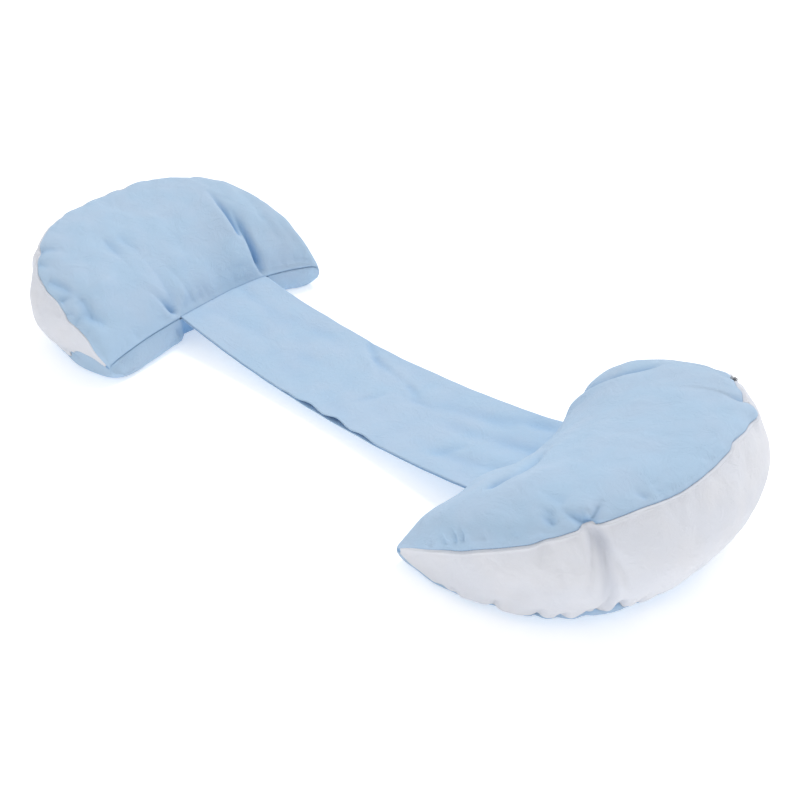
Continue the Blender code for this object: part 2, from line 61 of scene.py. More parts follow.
leftCushion = {
    "name": "cushionLeft", "node": "cushion_left", "panel": "gussetLeft", "panelNode": "gusset_left",
    "seam": (-0.2729, -0.0164), "turn": math.radians(6.7), "mirrored": True,
    "bandShift": 0.020, "bandWidth": 0.154, "seed": 5,
    "sections": [Section(*row) for row in (
        (0, -0.004, -0.186, -0.004, -0.186, 0.022, 0, 0.02, 0.023, 0.021, 0, 0.2, 0),
        (0.03, -0.004, -0.184, 0.02, -0.19, 0.026, 0.009, 0.02, 0.043, 0.023, 0.008, 0.6, 0.004),
        (0.125, -0.004, -0.164, 0.082, -0.19, 0.031, 0.021, 0.02, 0.081, 0.02, 0.03, 1.1, 0.012),
        (0.25, -0.002, -0.113, 0.149, -0.161, 0.036, 0.031, 0.02, 0.115, 0.015, 0.019, 1.15, 0.013),
        (0.375, 0, -0.05, 0.193, -0.094, 0.037, 0.036, 0.02, 0.134, 0.012, 0.021, 1.15, 0.012),
        (0.5, 0, 0, 0.205, 0, 0.037, 0.037, 0.02, 0.137, 0.01, 0.031, 1.15, 0.004),
        (0.625, -0.002, 0.05, 0.185, 0.092, 0.037, 0.038, 0.02, 0.138, 0.009, 0.028, 1.15, 0.002),
        (0.75, -0.014, 0.112, 0.131, 0.16, 0.036, 0.038, 0.02, 0.123, 0.009, 0.022, 1.15, 0.004),
        (0.875, -0.035, 0.159, 0.052, 0.187, 0.034, 0.023, 0.02, 0.087, 0.01, 0.012, 1.1, 0.001),
        (0.97, -0.042, 0.173, -0.017, 0.182, 0.029, 0.006, 0.02, 0.047, 0.014, 0.003, 0.6, 0),
        (1, -0.043, 0.174, -0.043, 0.174, 0.025, 0, 0.02, 0.026, 0.024, 0, 0.2, 0),
    )],
    "folds": [Fold(*row) for row in (
        (0.687, 0.27, 0.682, 0.64, 0.0045, 0.015, 0.5, 1.4),  # the two creases that part the far lobe
        (0.705, 0.08, 0.702, 0.48, 0.0045, 0.014, 0.5, 1.4),
        (0.712, 0, 0.706, 0.16, 0.004, 0.008, 0.5, 1.8),
        (0.671, 0.28, 0.668, 0.6, 0.01, -0.004, 0),
        (0.69, 0.06, 0.688, 0.24, 0.008, -0.003, 0),
        (0.65, 0.1, 0.655, 0.6, 0.022, -0.005, 0),  # the cloth is full beside them
        (0.8, 0.2, 0.77, 0.62, 0.01, 0.0022, 0.2),  # faint folds down the far lobe
        (0.85, 0.25, 0.82, 0.6, 0.009, 0.0018, 0.2),
        (0.76, 0.8, 0.78, 0.45, 0.01, 0.0016, 0.2),
        (0.354, 0.03, 0.405, 0.46, 0.009, 0.0038, 0.4, 1.6),  # up from the band's near corner
        (0.353, 0.03, 0.32, 0.24, 0.006, 0.006, 0.5),
        (0.352, 0.02, 0.335, 0.12, 0.004, 0.004, 0.5),
        (0.366, 0.02, 0.456, 0.2, 0.008, -0.0025, 0),
        (0.384, 0.01, 0.47, 0.14, 0.005, 0.0012, 0.3),
        (0.34, 0.2, 0.352, 0.5, 0.012, -0.003, 0),
        (0.378, 0.58, 0.33, 0.3, 0.008, 0.0045, 0.4, 1.4),
        (0.405, 0.55, 0.4, 0.34, 0.009, 0.0035, 0.4, 1.6),
        (0.43, 0.1, 0.425, 0.34, 0.006, 0.0016, 0.3),
        (0.56, 0.05, 0.545, 0.4, 0.012, 0.0016, 0.2),
        (0.198, 0.86, 0.178, 0.52, 0.009, 0.0055, 0.3),  # troughs towards the near tip
        (0.18, 0.55, 0.125, 0.4, 0.01, 0.0065, 0.3),
        (0.251, 0.46, 0.24, 0.34, 0.022, -0.005, 0),
        (0.15, 0.3, 0.13, 0.62, 0.01, 0.004, 0.3),
        (0.17, 0.46, 0.215, 0.28, 0.016, -0.003, 0),
        (0.085, 0.8, 0.13, 0.5, 0.008, 0.004, 0.4),
        (0.062, 0.74, 0.1, 0.4, 0.006, 0.003, 0.4),
        (0.251, 1, 0.236, 0.72, 0.009, 0.004, 0.4),  # from the corners in the top seam
        (0.285, 0.98, 0.3, 0.66, 0.01, 0.005, 0.4),
        (0.145, 0.82, 0.172, 0.62, 0.008, 0.005, 0.4),
        (0.11, 0.84, 0.125, 0.62, 0.006, 0.003, 0.4),
        (0.278, 1, 0.278, 1.8, 0.008, 0.009, 0.5),  # between the two lobes of the wall
        (0.305, 1.08, 0.308, 1.6, 0.016, -0.004, 0),
        (0.366, 2.99, 0.362, 2.5, 0.006, 0.008, 0.4, 6),  # the side is drawn in below the band
        (0.35, 2.98, 0.322, 2.74, 0.006, 0.006, 0.5),
        (0.34, 2.99, 0.3, 2.8, 0.005, 0.004, 0.5),
        (0.33, 2.97, 0.338, 2.66, 0.008, -0.003, 0),
    )],
    "topSeam": [Seam(*row) for row in (
        (0, 1), (0.014, 1), (0.052, 0.76), (0.07, 0.8), (0.094, 0.9),
        (0.118, 0.85), (0.145, 0.88), (0.175, 0.97), (0.2, 1), (0.23, 1.02),
        (0.251, 1.03), (0.27, 0.985), (0.294, 1.01), (0.32, 1), (1, 1),
    )],
    "footSeam": [Seam(*row) for row in (
        (0, 1.6), (0.02, 1.45), (0.04, 1.55), (0.08, 1.92), (0.11, 2.03),
        (0.15, 2.02), (0.22, 2), (1, 2),
    )],
}

rightCushion = {
    "name": "cushionRight", "node": "cushion_right", "panel": "gussetRight", "panelNode": "gusset_right",
    "seam": (0.2691, 0.0096), "turn": math.radians(4.4), "mirrored": False,
    "bandShift": -0.008, "bandWidth": 0.166, "seed": 11,
    "sections": [Section(*row) for row in (
        (0, -0.042, -0.194, -0.042, -0.194, 0.014, 0, 0.02, 0.015, 0.013, 0, 0.2, 0),
        (0.03, -0.041, -0.193, -0.016, -0.201, 0.019, 0.006, 0.02, 0.036, 0.014, 0.003, 0.6, 0.002),
        (0.125, -0.032, -0.175, 0.054, -0.205, 0.027, 0.031, 0.05, 0.081, 0.013, 0.012, 1.1, 0.008),
        (0.25, -0.013, -0.124, 0.134, -0.174, 0.036, 0.045, 0.05, 0.119, 0.01, 0.021, 1.15, 0.01),
        (0.375, -0.002, -0.056, 0.188, -0.101, 0.037, 0.046, 0.04, 0.142, 0.009, 0.028, 1.15, 0.004),
        (0.5, 0, 0, 0.207, 0, 0.037, 0.047, 0.05, 0.15, 0.009, 0.03, 1.15, 0.002),
        (0.625, -0.008, 0.056, 0.187, 0.099, 0.037, 0.048, 0.08, 0.142, 0.009, 0.029, 1.15, 0.004),
        (0.75, -0.024, 0.124, 0.126, 0.169, 0.036, 0.041, 0.1, 0.111, 0.009, 0.022, 1.15, 0.003),
        (0.875, -0.037, 0.171, 0.048, 0.199, 0.027, 0.011, 0.05, 0.069, 0.009, 0.012, 1.1, 0.002),
        (0.97, -0.042, 0.186, -0.018, 0.194, 0.019, 0.004, 0.04, 0.032, 0.01, 0.003, 0.6, 0.002),
        (1, -0.044, 0.187, -0.044, 0.187, 0.013, 0, 0.02, 0.014, 0.012, 0, 0.2, 0),
    )],
    "folds": [Fold(*row) for row in (
        (0.284, 0.985, 0.318, 0.84, 0.0045, 0.007, 0.6),  # the pucker in the top seam, and its rays
        (0.284, 0.985, 0.286, 0.86, 0.004, 0.005, 0.6),
        (0.282, 0.985, 0.262, 0.8, 0.005, 0.006, 0.5),
        (0.29, 0.96, 0.3, 0.8, 0.006, -0.0025, 0),
        (0.291, 1.03, 0.3, 1.8, 0.007, 0.013, 0.4),  # and down the wall
        (0.314, 1.94, 0.297, 1.3, 0.006, 0.009, 0.5),
        (0.284, 1, 0.268, 1.6, 0.005, 0.008, 0.5),
        (0.288, 1.02, 0.335, 1.7, 0.007, 0.008, 0.4),
        (0.276, 1.1, 0.272, 1.7, 0.008, -0.004, 0),
        (0.3, 1.14, 0.322, 1.84, 0.009, -0.006, 0),
        (0.33, 1.96, 0.318, 1.5, 0.006, 0.004, 0.4),
        (0.236, 1.24, 0.25, 1.62, 0.006, 0.003, 0.4),
        (0.222, 1.02, 0.212, 1.25, 0.005, 0.0035, 0.4),
        (0.18, 1.7, 0.196, 1.2, 0.012, 0.0025, 0.2),
        (0.42, 1.1, 0.4, 1.6, 0.012, 0.0025, 0.2),
        (0.245, 0.93, 0.236, 0.8, 0.006, 0.005, 0.5),  # a dimple beside it
        (0.252, 0.84, 0.24, 0.72, 0.006, 0.003, 0.4),
        (0.276, 0.8, 0.262, 0.6, 0.009, 0.0035, 0.3, 1.6),
        (0.104, 0.97, 0.116, 0.7, 0.0035, 0.0045, 0.5),  # gathers near the near tip
        (0.116, 0.96, 0.13, 0.72, 0.0035, 0.004, 0.5),
        (0.086, 0.98, 0.092, 0.74, 0.003, 0.003, 0.5),
        (0.06, 0.99, 0.076, 0.72, 0.003, 0.003, 0.5),
        (0.15, 0.97, 0.15, 0.84, 0.004, 0.002, 0.5),
        (0.365, 0.97, 0.35, 0.86, 0.006, 0.003, 0.4),
        (0.38, 0.98, 0.384, 0.88, 0.005, 0.002, 0.4),
        (0.228, 0.43, 0.3, 0.41, 0.006, 0.0085, 0.5),  # the roll of cloth along the band
        (0.29, 0.42, 0.415, 0.27, 0.007, 0.006, 0.4),
        (0.236, 0.22, 0.37, 0.16, 0.012, -0.006, 0),
        (0.25, 0.56, 0.36, 0.52, 0.012, -0.003, 0),
        (0.4, 0.1, 0.395, 0.42, 0.007, 0.0016, 0.3),
        (0.352, 0.62, 0.372, 0.36, 0.01, 0.0016, 0.2),
        (0.662, 0.02, 0.668, 0.34, 0.009, 0.022, 0.3, 3),  # the dip that parts the far lobe
        (0.668, 0.3, 0.7, 0.56, 0.006, 0.017, 0.4, 1.5),
        (0.64, 0.1, 0.65, 0.5, 0.014, -0.006, 0),
        (0.8, 0.1, 0.79, 0.6, 0.012, 0.002, 0.2),
        (0.612, 0.93, 0.606, 0.8, 0.006, 0.006, 0.5),  # the notch and corner below the zip
        (0.592, 1.04, 0.59, 0.9, 0.01, -0.005, 0),
        (0.722, 0.98, 0.716, 0.82, 0.01, -0.003, 0.2),
        (0.69, 0.9, 0.69, 0.78, 0.008, 0.004, 0.4),
        (0.227, 2.02, 0.226, 1.78, 0.005, 0.006, 0.6),  # the base seam is gathered
        (0.258, 2, 0.262, 1.84, 0.005, 0.004, 0.6),
        (0.291, 1.99, 0.288, 1.74, 0.005, 0.008, 0.6),
        (0.304, 1.93, 0.3, 1.74, 0.004, 0.007, 0.6),
        (0.337, 1.94, 0.33, 1.74, 0.005, 0.009, 0.6),
        (0.364, 1.98, 0.358, 1.8, 0.005, 0.006, 0.6),
        (0.396, 1.99, 0.392, 1.82, 0.005, 0.004, 0.6),
        (0.442, 1.86, 0.436, 1.66, 0.005, 0.009, 0.6),
        (0.47, 1.9, 0.466, 1.74, 0.006, 0.005, 0.6),
        (0.508, 1.7, 0.504, 1.5, 0.006, 0.005, 0.6),
        (0.165, 2.04, 0.162, 1.86, 0.005, 0.004, 0.6),
        (0.108, 2.06, 0.108, 1.9, 0.004, 0.003, 0.6),
    )],
    "topSeam": [Seam(*row) for row in (
        (0, 1), (0.06, 1.07), (0.11, 1.08), (0.15, 1.06), (0.201, 1.05),
        (0.235, 1.02), (0.266, 1.01), (0.284, 0.985), (0.3, 1.01), (0.34, 1.01),
        (0.408, 1.035), (0.461, 1.03), (0.5, 1.02), (0.513, 1), (0.555, 1.02),
        (0.6, 1.04), (0.612, 0.93), (0.63, 0.91), (0.648, 0.88), (0.668, 0.88),
        (0.69, 0.92), (0.702, 0.94), (0.72, 0.93), (0.745, 0.95), (0.775, 1),
        (1, 1),
    )],
    "footSeam": [Seam(*row) for row in (
        (0, 2), (0.04, 2.06), (0.1, 2.09), (0.155, 2.05), (0.227, 2),
        (0.262, 1.995), (0.291, 1.975), (0.303, 1.93), (0.32, 1.965), (0.336, 1.93),
        (0.35, 1.97), (0.38, 1.995), (0.442, 1.96), (0.48, 1.99), (1, 2),
    )],
}

cloth = {
    "shares": 390, "shareEase": 0.4, "curveSteps": 120, "curveEase": 0.6,
    "top": 116, "wall": 54, "under": 42, "ease": 0.88,
    "panelDepth": 0.0026, "panelThickness": 0.0014, "panelGap": 0.0004, "panelEnd": 3,
    "panelRoom": 0.025, "panelLeast": 0.3,          # the wall panel thins where it is narrow
    "grooveDepth": 0.0046, "grooveShare": 0.4, "grooveHeight": 0.0007, "bandGroove": 0.0046,
    "bandMargin": 0.004, "slimWidth": 0.080,
    "seamDip": 0.0010, "seamDipReach": 0.009, "seamLine": 0.0010,  # the cloth is drawn down towards a seam
    "lipHeight": 0.0014, "lipPlace": 0.0024, "lipWidth": 0.0011,   # the panel's turned edge
    "seamHold": 0.012,                              # folds fade out this near the inner seam
    "seamPull": 4, "seamRoom": 0.8,                 # the grid bends to a wandering seam only near it
    "turnLimit": 0.006, "turnEase": 1.2,            # how deep a fold can be at the top seam, and away from it
    "crumple": 0.0006, "crumpleSize": 0.045,
    "creaseFrom": 0.0015, "creaseDepth": 0.009,     # painted shade darkens a fold from this depth on, over that one
    # painted shade: by the inner seam, beside the panel seams, on steep and downward-facing sides and under
    # the band
    "innerShade": 0.4, "innerShadeReach": 0.0015, "edgeShade": 0.3, "edgeShadeReach": 0.0010,
    "sideShade": 0.12, "sideFrom": 0.6, "bandShade": 0.9, "bandShadeReach": 0.05,
}

roundness = {"crown": 0.85, "setback": 0.55, "wall": 0.85, "flatness": 0.5, "turn": 1.8,
             "foot": 0.4, "reach": 3, "leastWidth": 0.030}

stuffing = {
    "shares": 190, "top": 72, "wall": 32, "under": 40, "ease": 0.35,
    "slack": 0.0012, "slackReach": 0.020, "ruffle": 0.0006, "ruffleSize": 0.060,
    "pressure": 4.0, "shrink": -0.012, "bending": 0.05, "frames": 20, "cap": 0.008,
    "smoothing": 3, "resting": 0.0005,              # what is this near the floor lies on it
}

foldShape = {"leastPoints": 24, "pointsPerWidth": 10, "softStart": 0.6, "startReach": 0.08,
             "margin": 3, "sharpFall": 1.6}
waves = {"count": 14, "sizes": (0.6, 1.5)}

Gather = namedtuple("Gather", "up towards count reach depth width")
gathers = [  # many small folds that run off a seam, at random
    Gather(1, -1, 46, (0.06, 0.22), (0.0003, 0.0011), (0.003, 0.007)),
    Gather(1, 1, 40, (0.10, 0.40), (0.0003, 0.0010), (0.003, 0.007)),
    Gather(2, -1, 64, (0.10, 0.45), (0.0006, 0.0020), (0.003, 0.006)),
    Gather(2, 1, 64, (0.04, 0.16), (0.0006, 0.0018), (0.003, 0.006)),
    Gather(0, 1, 44, (0.05, 0.20), (0.0004, 0.0014), (0.003, 0.007)),
]
gatherPlaces = {"shares": (0.07, 0.93), "slant": (-0.02, 0.02), "start": 0.01, "sharp": 0.3}
wrinkles = {"count": 150, "shares": (0.05, 0.95), "ups": (0.1, 1.9), "reach": (0.02, 0.30),
            "slant": (-0.05, 0.05), "depth": (0.0003, 0.0011), "width": (0.003, 0.008),
            "sharp": 0.3, "spread": (1.0, 2.5)}


def between(a, b, share):
    return a + (b - a) * share


def ease(shares, amount):
    return (1 - amount) * shares + amount * (0.5 - 0.5 * np.cos(math.pi * shares))


def eased(steps, amount):
    return ease(np.linspace(0.0, 1.0, steps + 1), amount)


def sectionAt(rows, share):  # a smooth curve through the table's rows
    last = len(rows) - 1
    index = min(sum(row.share <= share for row in rows), last) - 1
    nearby = (max(index - 1, 0), index, index + 1, min(index + 2, last))
    before, start, end, after = (np.array(rows[k]) for k in nearby)
    span = end[0] - start[0]
    f = (share - start[0]) / span
    slopeStart = (end - before) / (end[0] - before[0]) * span
    slopeEnd = (after - start) / (after[0] - start[0]) * span
    values = ((2 * f**3 - 3 * f**2 + 1) * start + (f**3 - 2 * f**2 + f) * slopeStart
              + (3 * f**2 - 2 * f**3) * end + (f**3 - f**2) * slopeEnd)
    return Section(*values)


def sectionWidth(row):
    return math.hypot(row.outerOut - row.innerOut, row.outerSide - row.innerSide)


def placeInSection(row, across, height):
    out = between(row.innerOut, row.outerOut, across)
    side = between(row.innerSide, row.outerSide, across)
    return np.stack([out, side, np.maximum(height, 0.0)], axis=-1)


def topPanel(row, t):
    arch = np.sin(math.pi * t)
    across = ease(t, roundness["setback"]) - row.lean * arch * (1 - t)
    rise = between(row.seamHeight, row.wallTop, t)
    return placeInSection(row, across, rise + row.crown * arch ** roundness["crown"])


def wallPanel(row, t):
    across = 1 + row.bulge / sectionWidth(row) * np.sin(math.pi * t) ** roundness["wall"]
    return placeInSection(row, across, between(row.wallTop, row.wallBase, t))


def underside(row, t):
    line = between(row.wallBase, row.seamHeight, t)
    foot = roundness["foot"] * row.wallBase * np.sin(math.pi * (1 - t) ** roundness["reach"])
    belly = row.belly * np.sin(math.pi * t ** roundness["reach"])
    across = (1 - t) ** roundness["turn"] + (foot - belly) / max(sectionWidth(row), roundness["leastWidth"])
    return placeInSection(row, across, line * (1 - row.drop * np.sin(math.pi * t) ** roundness["flatness"]))


def clothPlace(row, up):  # one place on the cloth of a section
    part = (topPanel, wallPanel, underside)[min(int(up), 2)]
    return part(row, np.array([up - min(int(up), 2)]))[0]


def tipPoint(row):  # the cushion is drawn to a point at both ends
    return np.array([row.innerOut, row.innerSide, 0.5 * (row.wallTop + row.wallBase)])


def sectionCurve(row):  # the whole ring of a section as one fine line, and its "up" values
    t = eased(cloth["curveSteps"], cloth["curveEase"])
    points = np.concatenate([topPanel(row, t), wallPanel(row, t)[1:], underside(row, t)[1:]])
    return points, np.concatenate([t, 1 + t[1:], 2 + t[1:]])


def runAlong(points):
    steps = np.linalg.norm(np.diff(points, axis=0), axis=1)
    return np.concatenate([[0.0], np.cumsum(steps)])


def seamPlace(seams, share):  # a soft line through the table's places
    after = min(sum(s.share <= share for s in seams), len(seams) - 1)
    a, b = seams[after - 1], seams[after]
    f = (share - a.share) / (b.share - a.share)
    return between(a.up, b.up, f * f * (3 - 2 * f))


def clothGrid(cushion, shares, counts, amount):
    # Rows of points round every section. Returns the points, the run along each row, and the
    # columns where the wall starts and ends.
    grid, runs = [], []
    for share in shares:
        row = sectionAt(cushion["sections"], share)
        points, ups = sectionCurve(row)
        run = runAlong(points)
        sewn = (0.0, seamPlace(cushion["topSeam"], share), seamPlace(cushion["footSeam"], share), 3.0)
        plain, sewn = np.interp(range(4), ups, run), np.interp(sewn, ups, run)
        off, places = sewn - plain, [0.0]
        for k, count in enumerate(counts):
            t = eased(count, amount)[1:]
            width, shift = plain[k + 1] - plain[k], max(abs(off[k]) + abs(off[k + 1]), 1e-9)
            pull = np.clip(cloth["seamRoom"] * width / shift, 1.0, cloth["seamPull"])
            places.extend(plain[k] + width * t + off[k] * (1 - t) ** pull + off[k + 1] * t ** pull)
        grid.append(np.stack([np.interp(places, run, points[:, axis]) for axis in range(3)], axis=-1))
        runs.append(places)
    return np.array(grid), np.array(runs), counts[0], counts[0] + counts[1]


def gridNormals(grid):
    normals = np.cross(np.gradient(grid, axis=1), np.gradient(grid, axis=0))
    return normals / np.maximum(np.linalg.norm(normals, axis=-1, keepdims=True), 1e-9)


def smoothAt(values, places):  # a smooth curve through the rows of an array, read between them
    last = len(values) - 1
    start = np.clip(np.floor(places).astype(int), 0, last - 1)
    f = (places - start).reshape((-1,) + (1,) * (values.ndim - 1))
    a, b = values[np.maximum(start - 1, 0)], values[start]
    c, d = values[start + 1], values[np.minimum(start + 2, last)]
    return b + 0.5 * f * (c - a + f * (2 * a - 5 * b + 4 * c - d + f * (3 * (b - c) + d - a)))


def toWorld(points, cushion):
    out = -points[..., 0] if cushion["mirrored"] else points[..., 0]
    side, turn = points[..., 1], cushion["turn"]
    x = cushion["seam"][0] + out * math.cos(turn) - side * math.sin(turn)
    y = cushion["seam"][1] + out * math.sin(turn) + side * math.cos(turn)
    return np.stack([x, y, points[..., 2]], axis=-1)


def turnToWorld(directions, cushion):
    return toWorld(directions, cushion) - toWorld(np.zeros(3), cushion)


def ringFaces(rows, columns, closed):
    faces = []
    for i in range(rows - 1):
        for j in range(columns if closed else columns - 1):
            k = (j + 1) % columns
            faces.append((i * columns + j, (i + 1) * columns + j, (i + 1) * columns + k, i * columns + k))
    return faces


def tipFaces(rows, columns, near, far):
    faces = []
    for j in range(columns):
        k = (j + 1) % columns
        faces.append((near, j, k))
        faces.append((far, (rows - 1) * columns + k, (rows - 1) * columns + j))
    return faces


def addObject(name, data):
    thing = bpy.data.objects.new(name, data)
    bpy.context.scene.collection.objects.link(thing)
    return thing


def newMesh(name, vertices, faces):
    mesh = bpy.data.meshes.new(name)
    mesh.from_pydata(np.asarray(vertices, dtype=float).reshape(-1, 3).tolist(), [], faces)
    return mesh


def faceOutwards(mesh):
    bm = bmesh.new()
    bm.from_mesh(mesh)
    bmesh.ops.recalc_face_normals(bm, faces=bm.faces)
    if bm.calc_volume(signed=True) < 0:
        bmesh.ops.reverse_faces(bm, faces=bm.faces)
    bm.to_mesh(mesh)
    bm.free()


def newPiece(name, vertices, faces, uvs, crease, material):
    mesh = newMesh(name, vertices, faces)
    layer = mesh.uv_layers.new(name="cloth")        # in metres along the cloth
    loops = np.zeros(len(mesh.loops), dtype=np.int32)
    mesh.loops.foreach_get("vertex_index", loops)
    layer.data.foreach_set("uv", np.asarray(uvs, dtype=np.float32).reshape(-1, 2)[loops].ravel())
    # the crease mark carries painted shade to the material
    mark = mesh.attributes.new("crease", "FLOAT", "POINT")
    mark.data.foreach_set("value", np.asarray(crease, dtype=np.float32).ravel())
    faceOutwards(mesh)
    mesh.shade_smooth()
    mesh.materials.append(material)
    return addObject(name, mesh)


def stuffed(cushion):
    # The filling blows the cloth up a little between its pinned seams, which gathers it there.
    # Returns how far each point of a coarse grid moved.
    shares = eased(stuffing["shares"], cloth["shareEase"])[1:-1]
    counts = (stuffing["top"], stuffing["wall"], stuffing["under"])
    grid, runs, wallStart, wallEnd = clothGrid(cushion, shares, counts, stuffing["ease"])
    rows, columns = grid.shape[:2]
    seams = (0, wallStart, wallEnd, columns - 1)
    toSeam = np.min([np.abs(runs - runs[:, k:k + 1]) for k in seams], axis=0)
    free = 1 - np.exp(-toSeam / stuffing["slackReach"])
    free = free * np.clip(grid[..., 2] / stuffing["slackReach"], 0.0, 1.0)
    ruffle = waveField(grid, stuffing["ruffleSize"], cushion["seed"] + 1)
    inward = (stuffing["slack"] + stuffing["ruffle"] * ruffle) * free
    start = grid - gridNormals(grid) * inward[..., None]
    start[..., 2] = np.maximum(start[..., 2], 0.0)
    tips = [tipPoint(cushion["sections"][k]) for k in (0, -1)]
    near = rows * columns
    faces = ringFaces(rows, columns, True) + tipFaces(rows, columns, near, near + 1)
    mesh = newMesh("stuffing", np.concatenate([start.reshape(-1, 3), tips]), faces)
    faceOutwards(mesh)
    body = addObject("stuffing", mesh)

    held = np.zeros((rows, columns), dtype=bool)
    held[:, list(seams)] = True
    held |= grid[..., 2] < stuffing["resting"]
    held[[0, -1]] = True
    pins = body.vertex_groups.new(name="pins")
    pins.add(np.flatnonzero(held.ravel()).tolist() + [near, near + 1], 1.0, "REPLACE")
    modifier = body.modifiers.new("cloth", "CLOTH")
    settings = modifier.settings
    settings.vertex_group_mass = "pins"
    settings.use_pressure = True
    settings.uniform_pressure_force = stuffing["pressure"]
    settings.shrink_min = stuffing["shrink"]
    settings.bending_stiffness = stuffing["bending"]
    settings.effector_weights.gravity = 0.0
    modifier.collision_settings.use_collision = False
    modifier.point_cache.frame_start = 1
    modifier.point_cache.frame_end = stuffing["frames"]
    scene = bpy.context.scene
    for step in range(1, stuffing["frames"] + 1):
        scene.frame_set(step)
    evaluated = body.evaluated_get(bpy.context.evaluated_depsgraph_get())
    moved = np.zeros(len(mesh.vertices) * 3, dtype=np.float32)
    evaluated.data.vertices.foreach_get("co", moved)
    scene.frame_set(1)
    bpy.data.objects.remove(body, do_unlink=True)
    moved = moved.reshape(-1, 3)[:near].reshape(grid.shape) - grid
    for _ in range(stuffing["smoothing"]):          # half itself, half the four beside it
        beside = moved[:-2, 1:-1] + moved[2:, 1:-1] + moved[1:-1, :-2] + moved[1:-1, 2:]
        moved[1:-1, 1:-1] = 0.5 * moved[1:-1, 1:-1] + 0.125 * beside
    length = np.linalg.norm(moved, axis=-1, keepdims=True)
    return moved * np.minimum(1.0, stuffing["cap"] / np.maximum(length, 1e-9)), shares


def foldPoints(cushion, fold):
    rows = cushion["sections"]
    first = clothPlace(sectionAt(rows, fold.shareA), fold.upA)
    last = clothPlace(sectionAt(rows, fold.shareB), fold.upB)
    count = int(np.linalg.norm(last - first) / fold.width * foldShape["pointsPerWidth"])
    steps = np.linspace(0.0, 1.0, max(foldShape["leastPoints"], count))
    shares, ups = between(fold.shareA, fold.shareB, steps), between(fold.upA, fold.upB, steps)
    points = [clothPlace(sectionAt(rows, share), up) for share, up in zip(shares, ups)]
    start = min(foldShape["softStart"] * fold.spread ** 0.5, 1.0)   # a wide fold starts more softly
    strength = np.cos(0.5 * math.pi * steps) * (1 - start * np.exp(-steps / foldShape["startReach"]))
    return np.array(points), strength, shares


def pressFolds(grid, shares, cushion, folds):  # how far each point is pressed in
    flat = grid.reshape(-1, 3)
    flatShares = np.repeat(shares, grid.shape[1])
    pressed = np.zeros(len(flat))
    for fold in folds:
        points, strength, alongShares = foldPoints(cushion, fold)
        margin = foldShape["margin"] * fold.width * max(fold.spread, 1.0)
        inBox = (flat > points.min(0) - margin) & (flat < points.max(0) + margin)
        near = np.flatnonzero(inBox.all(axis=1))
        distance = np.linalg.norm(flat[near, None] - points, axis=-1)
        nearest = distance.argmin(axis=1)
        width = np.where(flatShares[near] > alongShares[nearest], fold.width * fold.spread, fold.width)
        ratio = distance[np.arange(len(near)), nearest] / width
        sharp = fold.sharp * np.exp(-foldShape["sharpFall"] * ratio)
        profile = (1 - fold.sharp) * np.exp(-ratio**2) + sharp
        pressed[near] += fold.depth * profile * strength[nearest]
    return pressed.reshape(grid.shape[:2])


def randomGathers(cushion):
    random = np.random.default_rng(cushion["seed"])
    folds = []
    for kind in gathers:
        for _ in range(kind.count):
            share = random.uniform(*gatherPlaces["shares"])
            reach = random.uniform(*kind.reach) * kind.towards
            slant = random.uniform(*gatherPlaces["slant"])
            width, depth = random.uniform(*kind.width), random.uniform(*kind.depth)
            folds.append(Fold(share, kind.up + gatherPlaces["start"] * kind.towards, share + slant,
                              kind.up + reach, width, depth, gatherPlaces["sharp"]))
    for _ in range(wrinkles["count"]):                  # and soft wrinkles anywhere in the panels
        share, up = random.uniform(*wrinkles["shares"]), random.uniform(*wrinkles["ups"])
        reach, slant = random.uniform(*wrinkles["reach"]), random.uniform(*wrinkles["slant"])
        width, depth = random.uniform(*wrinkles["width"]), random.uniform(*wrinkles["depth"])
        folds.append(Fold(share, up, share + slant, up + reach, width, depth, wrinkles["sharp"],
                          random.uniform(*wrinkles["spread"])))
    return folds


def waveField(points, size, seed):  # slow irregular waves through space, mostly within -1 to 1
    random = np.random.default_rng(seed)
    total = np.zeros(points.shape[:-1])
    for _ in range(waves["count"]):
        direction = random.normal(size=3)
        direction *= random.uniform(*waves["sizes"]) / (size * np.linalg.norm(direction))
        total += np.sin(2 * math.pi * points @ direction + random.uniform(0, 2 * math.pi))
    return total / waves["count"]**0.5


